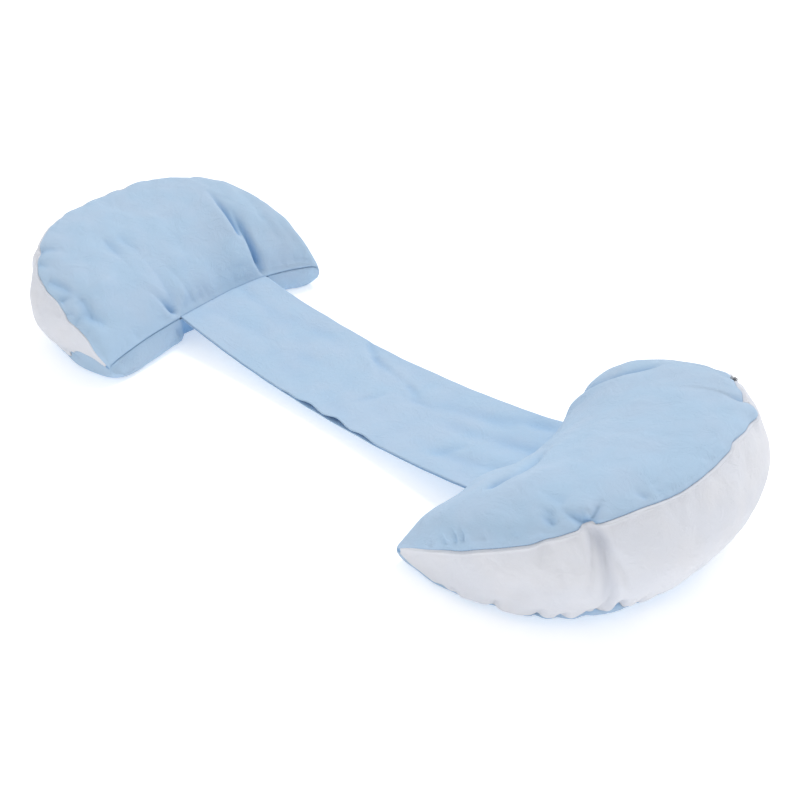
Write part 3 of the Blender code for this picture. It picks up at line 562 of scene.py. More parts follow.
def makeCushion(cushion, blue, white):
    shares = eased(cloth["shares"], cloth["shareEase"])[1:-1]
    counts = (cloth["top"], cloth["wall"], cloth["under"])
    base, runs, wallStart, wallEnd = clothGrid(cushion, shares, counts, cloth["ease"])
    rows, columns = base.shape[:2]

    grid = base.copy()
    moved, coarse = stuffed(cushion)
    moved = smoothAt(moved, np.interp(shares, coarse, np.arange(len(coarse))))
    places, first = [np.zeros(1)], 0
    for k, part in enumerate(("top", "wall", "under")):
        fine, rough = eased(counts[k], cloth["ease"])[1:], eased(stuffing[part], stuffing["ease"])
        places.append(first + np.interp(fine, rough, np.arange(len(rough))))
        first += stuffing[part]
    grid += smoothAt(moved.swapaxes(0, 1), np.concatenate(places)).swapaxes(0, 1)
    print("stuffed", cushion["name"])

    toTop = runs - runs[:, wallStart:wallStart + 1]
    toFoot = runs - runs[:, wallEnd:wallEnd + 1]
    toInner = np.minimum(runs, runs[:, -1:] - runs)
    hold = np.clip(toInner / cloth["seamHold"], 0.0, 1.0)
    sections = [sectionAt(cushion["sections"], share) for share in shares]
    slim = np.array([min(sectionWidth(row) / cloth["slimWidth"], 1.0) for row in sections])
    hold = hold * slim[:, None]                     # and towards the tips
    folds = pressFolds(base, shares, cushion, cushion["folds"] + randomGathers(cushion)) * hold
    # The cloth turns sharply at the top seam, where a deep fold would cross itself
    limit = cloth["turnLimit"] + cloth["turnEase"] * np.abs(toTop)
    folds = np.where(folds > 0, limit * np.tanh(folds / limit), folds)
    crumple = waveField(base, cloth["crumpleSize"], cushion["seed"])
    pressed = folds + cloth["crumple"] * hold * crumple
    seamDip = cloth["seamDip"] * slim[:, None]
    for away in (toTop, toFoot):
        pressed += seamDip * np.exp(-np.abs(away) / cloth["seamDipReach"])
        pressed += seamDip * np.exp(-((away / cloth["seamLine"]) ** 2))
    pressed += seamDip * np.exp(-((toInner / cloth["seamLine"]) ** 2))
    inWall = np.zeros(columns, dtype=bool)
    inWall[wallStart:wallEnd + 1] = True
    lip = np.exp(-(((toTop - cloth["lipPlace"]) / cloth["lipWidth"]) ** 2))
    pressed -= cloth["lipHeight"] * lip * inWall * slim[:, None]
    outward = gridNormals(grid)                     # the layers below follow it too, to stay nested
    grid = grid - outward * pressed[..., None]
    grid[..., 2] = np.maximum(grid[..., 2], 0.0)
    # The crease mark is painted shade: it darkens the cloth in deep folds, and more is added below
    crease = np.clip((folds - cloth["creaseFrom"]) / cloth["creaseDepth"], 0.0, 1.0)
    crease = crease + cloth["innerShade"] * np.exp(-toInner / cloth["innerShadeReach"])
    # painted shade on steep and downward-facing sides
    crease += cloth["sideShade"] * np.clip(cloth["sideFrom"] - gridNormals(grid)[..., 2], 0.0, 1.0)
    for away in (toTop, toFoot):
        crease += cloth["edgeShade"] * np.exp(-np.abs(away) / cloth["edgeShadeReach"]) * ~inWall

    # The inner seam's groove, taller where the band's end lies in it
    seam = np.array([(row.innerOut, row.innerSide, row.seamHeight) for row in sections])
    beyond = np.abs(seam[:, 1] - cushion["bandShift"]) - cushion["bandWidth"] / 2
    atBand = np.clip(1 - beyond / cloth["bandMargin"], 0.0, 1.0)
    below = np.exp(-toInner[:, wallEnd:] / cloth["bandShadeReach"])
    crease[:, wallEnd:] += cloth["bandShade"] * atBand[:, None] * below
    half = 0.5 * slim * between(cloth["grooveHeight"], cloth["bandGroove"], atBand)
    grid[:, 0] = seam + np.array([0, 0, 1.0]) * half[:, None]
    grid[:, -1] = seam - np.array([0, 0, 1.0]) * half[:, None]
    floors = []
    for sign in (-1, 1):
        floor = seam.copy()
        floor[:, 0] += cloth["grooveDepth"] * slim * between(cloth["grooveShare"], 1.0, atBand)
        floor[:, 2] += sign * half
        floors.append(floor[:, None])

    # The filled body: its top and bottom panels, and what backs the wall
    along = np.array([runAlong(grid[:, j]) for j in range(columns)]).T
    uv = np.stack([along, runs], axis=-1)
    room = np.clip((runs[:, wallEnd] - runs[:, wallStart]) / cloth["panelRoom"], cloth["panelLeast"], 1.0)
    recess = cloth["panelDepth"] * room
    recess[:cloth["panelEnd"]] = cloth["panelGap"]
    recess[-cloth["panelEnd"]:] = cloth["panelGap"]
    back = slice(wallStart, wallEnd + 1, 2)
    backing = grid[:, back] - outward[:, back] * recess[:, None, None]
    # The backing under the wall panel and the groove floors get full painted shade, their crease mark raised
    # by one
    order = [(grid[:, :wallStart + 1], uv[:, :wallStart + 1], crease[:, :wallStart + 1]),
             (backing, uv[:, back], crease[:, back] + 1),
             (grid[:, wallEnd:], uv[:, wallEnd:], crease[:, wallEnd:]),
             (floors[0], uv[:, -1:], crease[:, -1:] + 1), (floors[1], uv[:, :1], crease[:, :1] + 1)]
    points, uvs, marks = (np.concatenate([part[k] for part in order], axis=1) for k in range(3))
    count = points.shape[1]
    tips = np.array([tipPoint(cushion["sections"][k]) for k in (0, -1)])
    vertices = np.concatenate([points.reshape(-1, 3), tips])
    faces = ringFaces(rows, count, True) + tipFaces(rows, count, rows * count, rows * count + 1)
    uvs = np.concatenate([uvs.reshape(-1, 2), [[0, 0], [0.7, 0]]])
    marks = np.concatenate([marks.ravel(), [0, 0]])
    body = newPiece(cushion["name"], toWorld(vertices, cushion), faces, uvs, marks, blue)
    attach(body, "root")
    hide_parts(cushion["node"])

    # The wall panel is a thin sheet over the body
    inside = slice(cloth["panelEnd"], rows - cloth["panelEnd"])
    outer = grid[inside, wallStart:wallEnd + 1].copy()
    for edge, inward in ((0, 3), (-1, -4)):
        run = outer[:, inward] - outer[:, edge]
        outer[:, edge] += run / np.linalg.norm(run, axis=-1, keepdims=True) * cloth["panelGap"]
    thickness = cloth["panelThickness"] * room[inside]
    inner = outer - outward[inside, wallStart:wallEnd + 1] * thickness[:, None, None]
    panelUv = uv[inside, wallStart:wallEnd + 1]
    panelCrease = crease[inside, wallStart:wallEnd + 1]
    panel = makeSheet(cushion["panel"], outer, inner, panelUv, panelCrease, cushion, white)
    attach(panel, "root")
    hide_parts(cushion["panelNode"])
    return {"grid": grid, "wallStart": wallStart, "wallEnd": wallEnd, "seam": seam}


def makeSheet(name, outer, inner, uv, crease, cushion, material):
    rows, columns = outer.shape[:2]
    back = rows * columns
    faces = ringFaces(rows, columns, False)
    faces += [tuple(back + v for v in reversed(face)) for face in faces]
    for i in range(rows - 1):
        for j in (0, columns - 1):
            a, b = i * columns + j, (i + 1) * columns + j
            faces.append((a, b, back + b, back + a))
    for j in range(columns - 1):
        for i in (0, rows - 1):
            a, b = i * columns + j, i * columns + j + 1
            faces.append((a, b, back + b, back + a))
    vertices = np.concatenate([outer.reshape(-1, 3), inner.reshape(-1, 3)])
    if cushion:
        vertices = toWorld(vertices, cushion)
    uvs = np.concatenate([uv.reshape(-1, 2)] * 2)
    # The sheet's back face gets more painted shade, its crease mark raised by a half
    marks = np.concatenate([crease.ravel(), crease.ravel() + 0.5])
    return newPiece(name, vertices, faces, uvs, marks, material)


band = {
    "sag": 0.022, "tuck": 0.0040, "level": 0.008, "layer": 0.0012, "gap": 0.0012,
    "stations": 220, "across": 80, "foldSteps": 8,
    "liftStart": 0.38, "liftEnd": 0.70, "liftHeight": 0.0050, "liftReach": 0.026,
    "liftWaves": 3.5, "liftWaviness": 0.4, "liftBack": 0.0030,
    "crumple": 0.0005, "crumpleSize": 0.050, "seed": 21,
    "creaseSteps": 24, "creaseFade": 0.45, "creaseFar": 9.0, "creaseShadeDepth": 0.008,
}

Crease = namedtuple("Crease", "alongA acrossA alongB acrossB width depth")  # across: 0 front edge, 1 far edge
bandCreases = [Crease(*row) for row in (
    (0.41, 0.96, 0.5, 0.74, 0.006, 0.0022),  # two soft dents near the far edge
    (0.46, 0.84, 0.62, 0.7, 0.006, 0.0022),
    (0.43, 0.8, 0.52, 0.64, 0.009, -0.0016),
    (0.6, 0.72, 0.66, 0.62, 0.006, 0.002),
    (0.64, 0.6, 0.7, 0.62, 0.005, 0.0014),
    (0.57, 0.5, 0.53, 0.24, 0.005, 0.0015),
    (0.88, 0.8, 0.62, 0.62, 0.012, 0.0024),  # long shallow folds from the right end
    (0.97, 0.6, 0.72, 0.5, 0.01, 0.0026),
    (0.98, 0.4, 0.76, 0.36, 0.012, -0.0022),
    (0.97, 0.28, 0.78, 0.2, 0.01, 0.003),
    (0.84, 0.36, 0.8, 0.14, 0.007, 0.0024),
    (0.98, 0.9, 0.86, 0.84, 0.009, 0.003),
    (0.05, 0.3, 0.25, 0.42, 0.014, 0.0012),
    (0.03, 0.7, 0.2, 0.66, 0.01, 0.0012),
    (0.2, 0.75, 0.36, 0.8, 0.014, 0.0014),
    (0.3, 0.4, 0.42, 0.5, 0.012, 0.0012),
)]


def bandPath(station):
    radius = (band["layer"] + band["gap"]) / 2
    width = between(leftCushion["bandWidth"], rightCushion["bandWidth"], station)
    turn = 0.5 - radius / width
    flat = np.linspace(-0.5, turn, band["across"] + 1)
    bend = np.linspace(-0.5, 0.5, band["foldSteps"] + 1)[1:-1] * math.pi
    along = np.clip((station - band["liftStart"]) / (band["liftEnd"] - band["liftStart"]), 0.0, 1.0)
    ripple = math.cos(2 * math.pi * band["liftWaves"] * along)
    waviness = 1 - band["liftWaviness"] + band["liftWaviness"] * ripple
    lifted = math.sin(math.pi * along) * waviness * np.exp(-(flat + 0.5) * width / band["liftReach"])
    lift = band["liftHeight"] * lifted
    drawnBack = band["liftBack"] * lifted / width       # so the layer below peeks out
    across = np.concatenate([flat, turn + radius / width * np.cos(bend), (flat + drawnBack)[::-1]])
    height = np.concatenate([np.full(len(flat), -radius), radius * np.sin(bend), radius + lift[::-1]])
    path = np.stack([across * width, height], axis=-1)
    run = np.gradient(path, axis=0)
    normal = np.stack([-run[:, 1], run[:, 0]], axis=-1)
    normal /= np.linalg.norm(normal, axis=-1, keepdims=True)
    half = normal * band["layer"] / 2
    return [face / np.array([width, 1.0]) for face in (path - half, path + half)], runAlong(path)


def seamEnd(seam, cushion, across):
    side = cushion["bandShift"] + across * cushion["bandWidth"]
    out = np.interp(side, seam[:, 1], seam[:, 0]) + band["tuck"]
    return toWorld(np.stack([out, side, np.interp(side, seam[:, 1], seam[:, 2])], axis=-1), cushion)


def makeBand(leftSeam, rightSeam, blue):
    length = abs(rightCushion["seam"][0] - leftCushion["seam"][0])
    level = band["level"] / length
    stations = np.concatenate([[0.0], np.linspace(level, 1 - level, band["stations"] - 1), [1.0]])
    faces, uv, crease = [[], []], [], []
    for station in stations:
        paths, run = bandPath(station)
        for k in (0, 1):
            across, height = paths[k].T
            start, end = seamEnd(leftSeam, leftCushion, across), seamEnd(rightSeam, rightCushion, across)
            line = between(start, end, station)
            hang = np.clip((station - level) / (1 - 2 * level), 0.0, 1.0)
            line[:, 2] += height - 4 * band["sag"] * hang * (1 - hang)
            faces[k].append(line)
        uv.append(np.stack([np.full(len(run), station * length), run], axis=-1))
        crease.append(paths[1][:, 0] + 0.5)
    outside, inside = np.array(faces[0]), np.array(faces[1])    # of the folded strip
    across, along = np.array(crease), np.broadcast_to(stations[:, None], np.array(crease).shape)
    pressed = band["crumple"] * waveField(inside * [1, 1, 0], band["crumpleSize"], band["seed"])
    for fold in bandCreases:
        best = np.full(across.shape, band["creaseFar"])
        strength = np.zeros(across.shape)
        for step in np.linspace(0.0, 1.0, band["creaseSteps"]):
            alongAway = (along - between(fold.alongA, fold.alongB, step)) * length
            acrossAway = (across - between(fold.acrossA, fold.acrossB, step)) * rightCushion["bandWidth"]
            distance = np.hypot(alongAway, acrossAway) / fold.width
            fade = math.cos(band["creaseFade"] * math.pi * step)
            strength = np.where(distance < best, fade, strength)
            best = np.minimum(distance, best)
        pressed += fold.depth * np.exp(-best**2) * strength
    ends = np.clip(np.minimum(along, 1 - along) / (2 * level), 0.0, 1.0)
    for layer in (outside, inside):
        layer[..., 2] -= pressed * ends
    # painted shade where the band is pressed in, growing with the depth
    toneAndShade = np.clip(pressed / band["creaseShadeDepth"], 0, 1)
    piece = makeSheet("bandCloth", outside, inside, np.array(uv), toneAndShade, None, blue)
    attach(piece, "root")
    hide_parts("band")


stitches = {"pitch": 0.0032, "length": 0.0017, "thickness": 0.00034, "unevenness": 0.25, "seed": 3,
            "segments": 6, "rings": 5, "raised": 0.3}


def linkAll(tree, links):
    for start, output, end, socket in links:
        tree.links.new(start.outputs[output], end.inputs[socket])


def stitchTree():  # short rounded threads at even steps along a path, each lying across it
    tree = bpy.data.node_groups.new("Stitches", "GeometryNodeTree")
    tree.interface.new_socket("Geometry", in_out="INPUT", socket_type="NodeSocketGeometry")
    kinds = {"Pitch": "Float", "Length": "Float", "Thickness": "Float", "Unevenness": "Float",
             "Seed": "Int", "Thread": "Material"}
    for label, kind in kinds.items():
        tree.interface.new_socket(label, in_out="INPUT", socket_type="NodeSocket" + kind)
    tree.interface.new_socket("Geometry", in_out="OUTPUT", socket_type="NodeSocketGeometry")
    names = {
        "given": "NodeGroupInput", "made": "NodeGroupOutput", "path": "GeometryNodeMeshToCurve",
        "steps": "GeometryNodeResampleCurve", "across": "GeometryNodeInputNamedAttribute",
        "turn": "FunctionNodeAlignRotationToVector", "thread": "GeometryNodeMeshUVSphere",
        "longer": "GeometryNodeTransform", "size": "ShaderNodeCombineXYZ",
        "put": "GeometryNodeInstanceOnPoints",
        "smooth": "GeometryNodeSetShadeSmooth", "real": "GeometryNodeRealizeInstances",
        "cover": "GeometryNodeSetMaterial", "vary": "FunctionNodeRandomValue",
        "least": "ShaderNodeMath", "most": "ShaderNodeMath",
    }
    n = {key: tree.nodes.new(kind) for key, kind in names.items()}
    n["steps"].mode = "LENGTH"
    n["across"].data_type = "FLOAT_VECTOR"
    n["across"].inputs["Name"].default_value = "across"
    n["turn"].axis = "Z"
    n["thread"].inputs["Segments"].default_value = stitches["segments"]
    n["thread"].inputs["Rings"].default_value = stitches["rings"]
    n["thread"].inputs["Radius"].default_value = 0.5
    for key, operation in (("least", "SUBTRACT"), ("most", "ADD")):
        n[key].operation = operation
        n[key].inputs[0].default_value = 1.0
    linkAll(tree, [
        (n["given"], "Geometry", n["path"], "Mesh"), (n["path"], "Curve", n["steps"], "Curve"),
        (n["given"], "Pitch", n["steps"], "Length"), (n["across"], "Attribute", n["turn"], "Vector"),
        (n["given"], "Thickness", n["size"], "X"), (n["given"], "Thickness", n["size"], "Y"),
        (n["given"], "Length", n["size"], "Z"), (n["thread"], "Mesh", n["longer"], "Geometry"),
        (n["size"], "Vector", n["longer"], "Scale"), (n["steps"], "Curve", n["put"], "Points"),
        (n["longer"], "Geometry", n["put"], "Instance"), (n["turn"], "Rotation", n["put"], "Rotation"),
        (n["given"], "Seed", n["vary"], "Seed"), (n["put"], "Instances", n["real"], "Geometry"),
        (n["real"], "Geometry", n["smooth"], "Geometry"), (n["smooth"], "Geometry", n["cover"], "Geometry"),
        (n["given"], "Thread", n["cover"], "Material"), (n["cover"], "Geometry", n["made"], "Geometry"),
    ])
    for key in ("least", "most"):
        tree.links.new(n["given"].outputs["Unevenness"], n[key].inputs[1])
    vary = {socket.name: socket for socket in n["vary"].inputs if socket.type == "VALUE"}
    tree.links.new(n["least"].outputs[0], vary["Min"])
    tree.links.new(n["most"].outputs[0], vary["Max"])
    value = next(socket for socket in n["vary"].outputs if socket.type == "VALUE")
    tree.links.new(value, n["put"].inputs["Scale"])
    return tree


def makeStitches(name, paths, tree, thread):
    # Every path is its points and the directions that its stitches lie in
    points = np.concatenate([path for path, _ in paths])
    edges, first = [], 0
    for path, _ in paths:
        edges += [(first + k, first + k + 1) for k in range(len(path) - 1)]
        first += len(path)
    mesh = bpy.data.meshes.new(name)
    mesh.from_pydata(points.tolist(), edges, [])
    across = mesh.attributes.new("across", "FLOAT_VECTOR", "POINT")
    across.data.foreach_set("vector", np.concatenate([turn for _, turn in paths]).astype(np.float32).ravel())
    piece = addObject(name, mesh)
    modifier = piece.modifiers.new("stitches", "NODES")
    modifier.node_group = tree
    names = ("Pitch", "Length", "Thickness", "Unevenness", "Seed")
    values = {"Thread": thread, **{label: stitches[label.lower()] for label in names}}
    for socket in tree.interface.items_tree:
        if socket.in_out == "INPUT" and socket.name in values:
            modifier[socket.identifier] = values[socket.name]
    evaluated = piece.evaluated_get(bpy.context.evaluated_depsgraph_get())
    sewn = bpy.data.meshes.new_from_object(evaluated)
    piece.modifiers.remove(modifier)
    piece.data = sewn
    sewn.name = name
    bpy.data.meshes.remove(mesh)
    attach(piece, "root")
    print(name, len(sewn.polygons), "faces")
    return piece


def sewCushion(cushion, made, tree, whiteThread, blueThread):
    grid, ends = made["grid"], slice(cloth["panelEnd"], -cloth["panelEnd"])
    normals, raised = gridNormals(grid), stitches["thickness"] * stitches["raised"]
    paths = []
    for column in (made["wallStart"], made["wallEnd"]):
        across = grid[ends, column + 2] - grid[ends, column - 2]
        paths.append((grid[ends, column] + normals[ends, column] * raised, across))
    paths = [(toWorld(path, cushion), turnToWorld(across, cushion)) for path, across in paths]
    makeStitches(cushion["name"] + "WallSeams", paths, tree, whiteThread)
    seam, paths = made["seam"], []
    beside = np.abs(seam[:, 1] - cushion["bandShift"]) > cushion["bandWidth"] / 2
    for nearEnd in (True, False):
        part = beside & ((seam[:, 1] < cushion["bandShift"]) == nearEnd)
        part[:cloth["panelEnd"]] = part[-cloth["panelEnd"]:] = False
        line = seam[part] - [raised, 0, 0]
        upright = np.tile([0.0, 0.0, 1.0], (len(line), 1))
        paths.append((toWorld(line, cushion), turnToWorld(upright, cushion)))
    makeStitches(cushion["name"] + "InnerSeam", paths, tree, blueThread)


slider = {
    "length": 0.0100, "width": 0.0080, "narrowing": 0.66, "corner": 0.18, "plate": 0.0008, "gap": 0.0014,
    "rim": 0.0006, "flangeReach": 0.40, "flangeHeight": 0.35,
    "postLength": 0.16, "postWidth": 0.3, "postPlace": 0.36,
    "arch": 0.0017, "archReach": 0.34, "archSteps": 13, "wire": 0.00045, "sides": 8,
    "pullLength": 0.0085, "pullWidth": 0.0034, "pullThickness": 0.0007, "pullSpread": 1.25,
    "pullHole": 0.0009, "pullHinge": 0.30, "pullHeight": 0.55, "pullTilt": 0.10,
    "bevel": 0.0002, "bevelFrom": 1.0, "sharpFrom": 35, "seat": 0.0002, "rowsOff": 3,
}


def addPrism(bm, outline, low, high, hole=None):  # an upright prism on an outline
    rings = []
    for height in (low, high):
        rings.append([bm.verts.new((x, y, height)) for x, y in outline])
    count = len(outline)
    faces = [bm.faces.new((rings[0][k], rings[0][(k + 1) % count], rings[1][(k + 1) % count], rings[1][k]))
             for k in range(count)]
    if hole:
        inside = [[bm.verts.new((x, y, height)) for x, y in hole] for height in (low, high)]
        for k in range(count):
            m = (k + 1) % count
            faces.append(bm.faces.new((inside[0][m], inside[0][k], inside[1][k], inside[1][m])))
            faces.append(bm.faces.new((rings[1][k], rings[1][m], inside[1][m], inside[1][k])))
            faces.append(bm.faces.new((rings[0][m], rings[0][k], inside[0][k], inside[0][m])))
    else:
        faces.append(bm.faces.new(rings[1]))
        faces.append(bm.faces.new(rings[0][::-1]))
    return faces


def addTube(bm, points, radius, sides):
    points = np.array(points)
    tangents = np.gradient(points, axis=0)
    across, turns, rings = np.array([0.0, 1.0, 0.0]), np.arange(sides) * 2 * math.pi / sides, []
    for point, tangent in zip(points, tangents / np.linalg.norm(tangents, axis=1, keepdims=True)):
        side = np.cross(tangent, across)
        ring = [point + radius * (math.cos(t) * side + math.sin(t) * across) for t in turns]
        rings.append([bm.verts.new(place) for place in ring])
    for a, b in zip(rings, rings[1:]):
        for k in range(sides):
            bm.faces.new((a[k], a[(k + 1) % sides], b[(k + 1) % sides], b[k]))
    bm.faces.new(rings[0][::-1])
    bm.faces.new(rings[-1])


def roundedOutline(length, width, narrowing, steps=4):  # wide at the front, drawn in towards the back
    outline = []
    for cornerX, cornerY, start in ((-1, -1, 180), (1, -1, 270), (1, 1, 0), (-1, 1, 90)):
        half = width / 2 * (1.0 if cornerX < 0 else narrowing)
        radius = width * slider["corner"]
        for k in range(steps + 1):
            t = math.radians(start + 90 * k / steps)
            outline.append((cornerX * (length / 2 - radius) + radius * math.cos(t),
                            cornerY * (half - radius) + radius * math.sin(t)))
    return outline


def makeSlider(cushion, made, metal):
    low, high = (np.array(corner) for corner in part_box("zip_slider_right"))
    grid = toWorld(made["grid"], cushion)
    line = grid[:, made["wallStart"]]
    k = int(np.linalg.norm(line - (low + high) / 2, axis=1).argmin()) - slider["rowsOff"]
    along = line[k - 3] - line[k + 3]
    along /= np.linalg.norm(along)
    up = np.cross(grid[k, made["wallStart"] + 6] - grid[k, made["wallStart"] - 6], along)
    up /= np.linalg.norm(up)
    if up[2] < 0:
        up = -up
    side = np.cross(up, along)

    plate, gap = slider["plate"], slider["gap"]
    outline = roundedOutline(slider["length"], slider["width"], slider["narrowing"])
    bm = bmesh.new()
    addPrism(bm, outline, 0.0, plate)
    addPrism(bm, outline, plate + gap, 2 * plate + gap)
    postBack = slider["length"] * slider["postPlace"]
    post = [(x * slider["postLength"] - postBack, y * slider["postWidth"]) for x, y in outline]
    addPrism(bm, post, plate * 0.5, 1.5 * plate + gap)
    rim, high = slider["rim"], gap * slider["flangeHeight"]
    front, back = slider["width"] / 2, slider["width"] / 2 * slider["narrowing"]
    half = slider["length"] * slider["flangeReach"]
    for sign in (-1, 1):                            # the flanges that hold the teeth
        edge = [(-half, front - rim), (half, back - rim), (half, back), (-half, front)]
        edge = [(x, sign * y) for x, y in edge][::sign]
        addPrism(bm, edge, plate * 0.5, plate + high)
        addPrism(bm, edge, plate + gap - high, 1.5 * plate + gap)
    top = 2 * plate + gap
    reach, foot = slider["length"] * slider["archReach"], top - slider["wire"]
    turns = np.linspace(0.0, math.pi, slider["archSteps"])
    arch = [(-math.cos(t) * reach, 0.0, foot + slider["arch"] * math.sin(t)) for t in turns]
    addTube(bm, arch, slider["wire"], slider["sides"])
    corners = [edge for edge in bm.edges if edge.calc_face_angle(0) > slider["bevelFrom"]]
    bmesh.ops.bevel(bm, geom=corners, offset=slider["bevel"], segments=1, affect="EDGES")
    body = set(bm.verts)
    pull = roundedOutline(slider["pullLength"], slider["pullWidth"], slider["pullSpread"])
    reach, hinge = slider["pullHole"], slider["pullLength"] * slider["pullHinge"]
    hole = [(x / slider["pullLength"] * 2 * reach - hinge, y / slider["pullWidth"] * 2 * reach)
            for x, y in pull]
    addPrism(bm, pull, -slider["pullThickness"] / 2, slider["pullThickness"] / 2, hole)
    c, s = math.cos(slider["pullTilt"]), math.sin(slider["pullTilt"])
    for vertex in bm.verts:
        if vertex not in body:
            x, y, z = vertex.co
            x += hinge
            height = top + slider["arch"] * slider["pullHeight"]
            vertex.co = (x * c - z * s, y, x * s + z * c + height)
    for vertex in bm.verts:
        x, y, z = vertex.co
        vertex.co = line[k] + along * x + side * y + up * (z + slider["seat"])
    bmesh.ops.recalc_face_normals(bm, faces=bm.faces)
    mesh = bpy.data.meshes.new("zipSlider")
    bm.to_mesh(mesh)
    bm.free()
    mesh.materials.append(metal)
    mesh.shade_smooth()
    mesh.set_sharp_from_angle(angle=math.radians(slider["sharpFrom"]))
    piece = addObject("zipSlider", mesh)
    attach(piece, "root")
    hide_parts("zip_slider_right")


def makeMaterial(name, color, roughness):
    material = bpy.data.materials.new(name)
    material.use_nodes = True
    shader = material.node_tree.nodes["Principled BSDF"]
    shader.inputs["Base Color"].default_value = (*color, 1)
    shader.inputs["Roughness"].default_value = roughness
    return material, material.node_tree, shader


def newGroup(name, inputs, outputs):
    group = bpy.data.node_groups.new(name, "ShaderNodeTree")
    for label, kind, value in inputs:
        socket = group.interface.new_socket(label, in_out="INPUT", socket_type="NodeSocket" + kind)
        if value is not None:
            socket.default_value = value
    for label, kind in outputs:
        group.interface.new_socket(label, in_out="OUTPUT", socket_type="NodeSocket" + kind)
    return group, group.nodes.new("NodeGroupInput"), group.nodes.new("NodeGroupOutput")


def addNode(tree, kind, inputs, **settings):  # an input is a value, or another node's output
    node = tree.nodes.new(kind)
    for key, value in settings.items():
        setattr(node, key, value)
    for key, value in inputs.items():
        if isinstance(value, bpy.types.NodeSocket):
            tree.links.new(value, node.inputs[key])
        else:
            node.inputs[key].default_value = value
    return node


def mathNode(tree, operation, *values):
    return addNode(tree, "ShaderNodeMath", dict(enumerate(values)), operation=operation).outputs[0]


def noiseNode(tree, inputs):
    place = tree.nodes.new("ShaderNodeTexCoord").outputs["Object"]
    return addNode(tree, "ShaderNodeTexNoise", {"Vector": place, **inputs}).outputs["Fac"]


def colorMix(tree, factor, first, second):
    inputs = {"Factor": factor, "A": first, "B": second}
    return addNode(tree, "ShaderNodeMix", inputs, data_type="RGBA").outputs["Result"]


def addBump(tree, shader, height, depth, below=None):
    inputs = {"Height": height, "Distance": depth}
    if below:
        inputs["Normal"] = below
    bump = addNode(tree, "ShaderNodeBump", inputs).outputs[0]
    tree.links.new(bump, shader.inputs["Normal"])
    return bump


def weaveGroup():  # a plain weave: threads over and under by turns, on the cloth's own metres
    tree, given, made = newGroup("Weave", [("Threads per metre", "Float", 1800)], [("Height", "Float")])
    uv = addNode(tree, "ShaderNodeUVMap", {}, uv_map="cloth")
    split = addNode(tree, "ShaderNodeSeparateXYZ", {0: uv.outputs[0]})
    rows = []
    for axis in (0, 1):
        threads = mathNode(tree, "MULTIPLY", split.outputs[axis], given.outputs[0])
        rows.append(mathNode(tree, "SINE", mathNode(tree, "MULTIPLY", threads, math.pi)))
    tree.links.new(mathNode(tree, "MULTIPLY", *rows), made.inputs[0])
    return tree


crumpling = {"size": 40.0, "warp": 1.5, "detail": 4.0, "roughness": 0.6, "tintScale": 22.0, "tintDetail": 3.0}


def crumpleGroup():  # soft creases a few millimetres to a few centimetres across
    inputs = [("Size", "Float", crumpling["size"]), ("Warp", "Float", crumpling["warp"])]
    tree, given, made = newGroup("Crumple", inputs, [("Height", "Float"), ("Tint", "Float")])
    slow = noiseNode(tree, {"Scale": given.outputs[0], "Distortion": given.outputs[1],
                            "Detail": crumpling["detail"], "Roughness": crumpling["roughness"]})
    ridge = mathNode(tree, "ABSOLUTE", mathNode(tree, "SUBTRACT", slow, 0.5))
    tree.links.new(ridge, made.inputs[0])
    toneAndShade = noiseNode(tree, {"Scale": crumpling["tintScale"], "Detail": crumpling["tintDetail"]})
    tree.links.new(toneAndShade, made.inputs[1])
    return tree


def clothMaterial(name, look, weave, crumple):
    material, tree, shader = makeMaterial(name, look["color"], look["roughness"])
    woven = addNode(tree, "ShaderNodeGroup", {}, node_tree=weave)
    woven.inputs[0].default_value = look["threads"]
    creased = addNode(tree, "ShaderNodeGroup", {}, node_tree=crumple)
    creased.inputs[0].default_value = look["crumpleSize"]
    spread = addNode(tree, "ShaderNodeMapRange", {
        "Value": creased.outputs["Tint"], "From Min": look["tintFrom"], "From Max": look["tintTo"],
    })
    toneAndShade = colorMix(tree, spread.outputs[0], (*look["color"], 1), (*look["second"], 1))
    # painted shade: the crease mark mixes the cloth towards a deeper colour
    mark = addNode(tree, "ShaderNodeAttribute", {}, attribute_name="crease")
    amount = mathNode(tree, "MULTIPLY", mark.outputs["Fac"], look["shadeStrength"])
    shadeColor = colorMix(tree, mathNode(tree, "MINIMUM", amount, 1.0), toneAndShade, (*look["shadeColor"], 1))
    tree.links.new(shadeColor, shader.inputs["Base Color"])
    bump = addBump(tree, shader, creased.outputs["Height"], look["crumpleDepth"])
    addBump(tree, shader, woven.outputs["Height"], look["weaveDepth"], bump)
    shader.inputs["Sheen Weight"].default_value = look["sheen"]
    shader.inputs["Sheen Roughness"].default_value = look["sheenRoughness"]
    return material


def threadMaterial(name, look):  # twisted sewing thread
    material, tree, shader = makeMaterial(name, look["color"], look["roughness"])
    addBump(tree, shader, noiseNode(tree, {"Scale": look["twist"]}), look["depth"])
    shader.inputs["Sheen Weight"].default_value = look["sheen"]
    return material


def metalMaterial(name, look):  # a small die-cast slider, satin and a little rubbed
    material, tree, shader = makeMaterial(name, look["color"], look["roughness"])
    shader.inputs["Metallic"].default_value = look["metallic"]
    wear = noiseNode(tree, {"Scale": look["wearSize"], "Detail": look["wearDetail"]})
    rubbed = colorMix(tree, wear, (*look["color"], 1), (*look["rubbed"], 1))
    tree.links.new(rubbed, shader.inputs["Base Color"])
    low, high = look["roughness"] - look["uneven"], look["roughness"] + look["uneven"]
    spread = addNode(tree, "ShaderNodeMapRange", {"Value": wear, "To Min": low, "To Max": high})
    tree.links.new(spread.outputs[0], shader.inputs["Roughness"])
    addBump(tree, shader, wear, look["depth"])
    return material


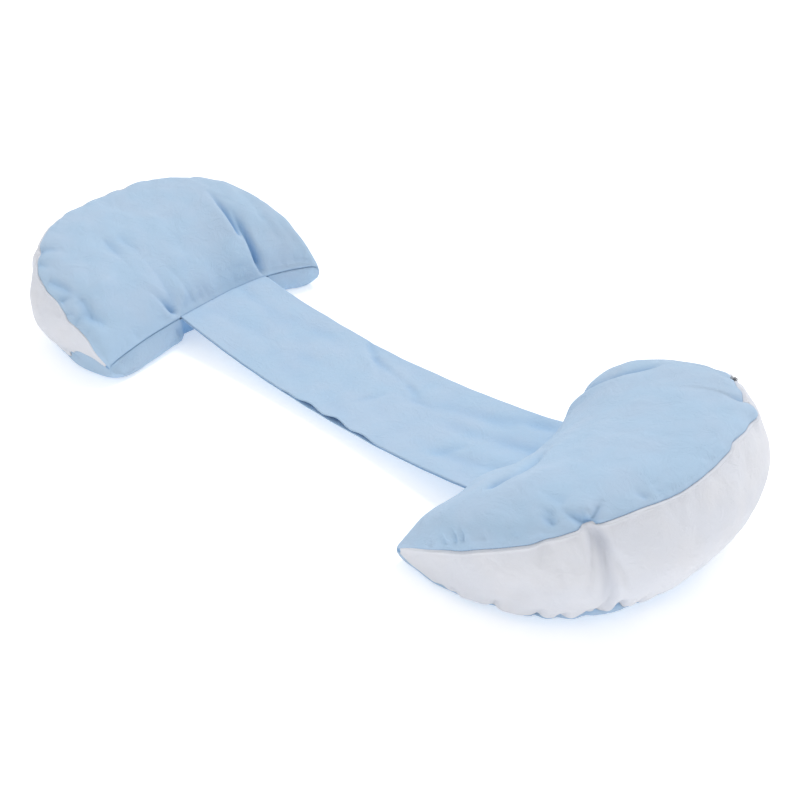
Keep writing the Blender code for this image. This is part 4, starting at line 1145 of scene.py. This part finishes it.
thread = {"roughness": 0.7, "twist": 2600.0, "depth": 0.00006, "sheen": 0.2}
whiteThread = {**thread, "color": (0.84, 0.85, 0.89)}
blueThread = {**thread, "color": (0.44, 0.60, 0.79)}
zipMetal = {"color": (0.24, 0.25, 0.27), "rubbed": (0.42, 0.43, 0.45), "roughness": 0.38, "uneven": 0.12,
            "metallic": 0.85, "wearSize": 600.0, "wearDetail": 5.0, "depth": 0.00003}
cotton = {"roughness": 0.85, "sheen": 0.12, "sheenRoughness": 0.4, "threads": 1800.0, "weaveDepth": 0.00008,
          "crumpleSize": 34.0, "crumpleDepth": 0.0022, "tintFrom": 0.38, "tintTo": 0.62}
# each cloth's deeper colour is painted shade, laid on where the crease mark is high
blueCotton = {**cotton, "color": (0.45, 0.618, 0.805), "second": (0.475, 0.622, 0.80),
              "shadeColor": (0.21, 0.42, 0.70), "shadeStrength": 0.75}
whiteCotton = {**cotton, "color": (0.755, 0.78, 0.85), "second": (0.77, 0.785, 0.84),
               "shadeColor": (0.62, 0.65, 0.72), "shadeStrength": 0.4}

weave, crumple = weaveGroup(), crumpleGroup()
blue = clothMaterial("blueCotton", blueCotton, weave, crumple)
white = clothMaterial("whiteCotton", whiteCotton, weave, crumple)
print("materials made")

left = makeCushion(leftCushion, blue, white)
right = makeCushion(rightCushion, blue, white)
makeBand(left["seam"], right["seam"], blue)
print("cloth made")
tree = stitchTree()
threads = [threadMaterial("whiteThread", whiteThread), threadMaterial("blueThread", blueThread)]
sewCushion(leftCushion, left, tree, *threads)
sewCushion(rightCushion, right, tree, *threads)
makeSlider(rightCushion, right, metalMaterial("zipMetal", zipMetal))
print("seams sewn and slider made")

camera = {"azimuth": 43.8, "elevation": 34.1, "distance": 1.342, "target": (0.0721, -0.0049, 0.03),
          "lens": 50.36, "sensor": 36.0}


def makeCamera():
    a, e = math.radians(camera["azimuth"]), math.radians(camera["elevation"])
    back = np.array([math.sin(a) * math.cos(e), -math.cos(a) * math.cos(e), math.sin(e)])
    data = bpy.data.cameras.new("camera")
    data.lens = camera["lens"]
    data.sensor_width = camera["sensor"]
    eye = addObject("camera", data)
    eye.location = np.array(camera["target"]) + back * camera["distance"]
    eye.rotation_euler = (math.pi / 2 - e, 0, a)
    bpy.context.scene.camera = eye


light = {
    "world": 0.74, "key": 1.15, "keySpread": 0.45, "keyAzimuth": 194.0, "keyElevation": 56.0,
    "floor": (0.95, 0.95, 0.955), "floorRoughness": 0.9, "floorSize": 8.0, "floorDrop": 0.0002, "glow": 0.35,
}


def makeKey():
    data = bpy.data.lights.new("key", "SUN")
    data.energy = light["key"]
    data.angle = light["keySpread"]
    lamp = addObject("key", data)
    lamp.rotation_euler = (math.radians(90 - light["keyElevation"]), 0, math.radians(light["keyAzimuth"]))


def makeStage():
    world = bpy.data.worlds.new("studio")
    world.use_nodes = True
    sky = world.node_tree.nodes["Background"].inputs
    sky["Color"].default_value = (1, 1, 1, 1)
    sky["Strength"].default_value = light["world"]
    bpy.context.scene.world = world
    makeKey()
    material, _, shader = makeMaterial("paleFloor", light["floor"], light["floorRoughness"])
    shader.inputs["Emission Color"].default_value = (1, 1, 1, 1)
    shader.inputs["Emission Strength"].default_value = light["glow"]
    size, low = light["floorSize"], -light["floorDrop"]
    corners = [(x * size, y * size, low) for x, y in ((-1, -1), (1, -1), (1, 1), (-1, 1))]
    mesh = newMesh("floor", corners, [(0, 1, 2, 3)])
    mesh.materials.append(material)
    floor = addObject("floor", mesh)


makeCamera()
makeStage()
bpy.context.scene.view_settings.view_transform = "Standard"
print("stage made")
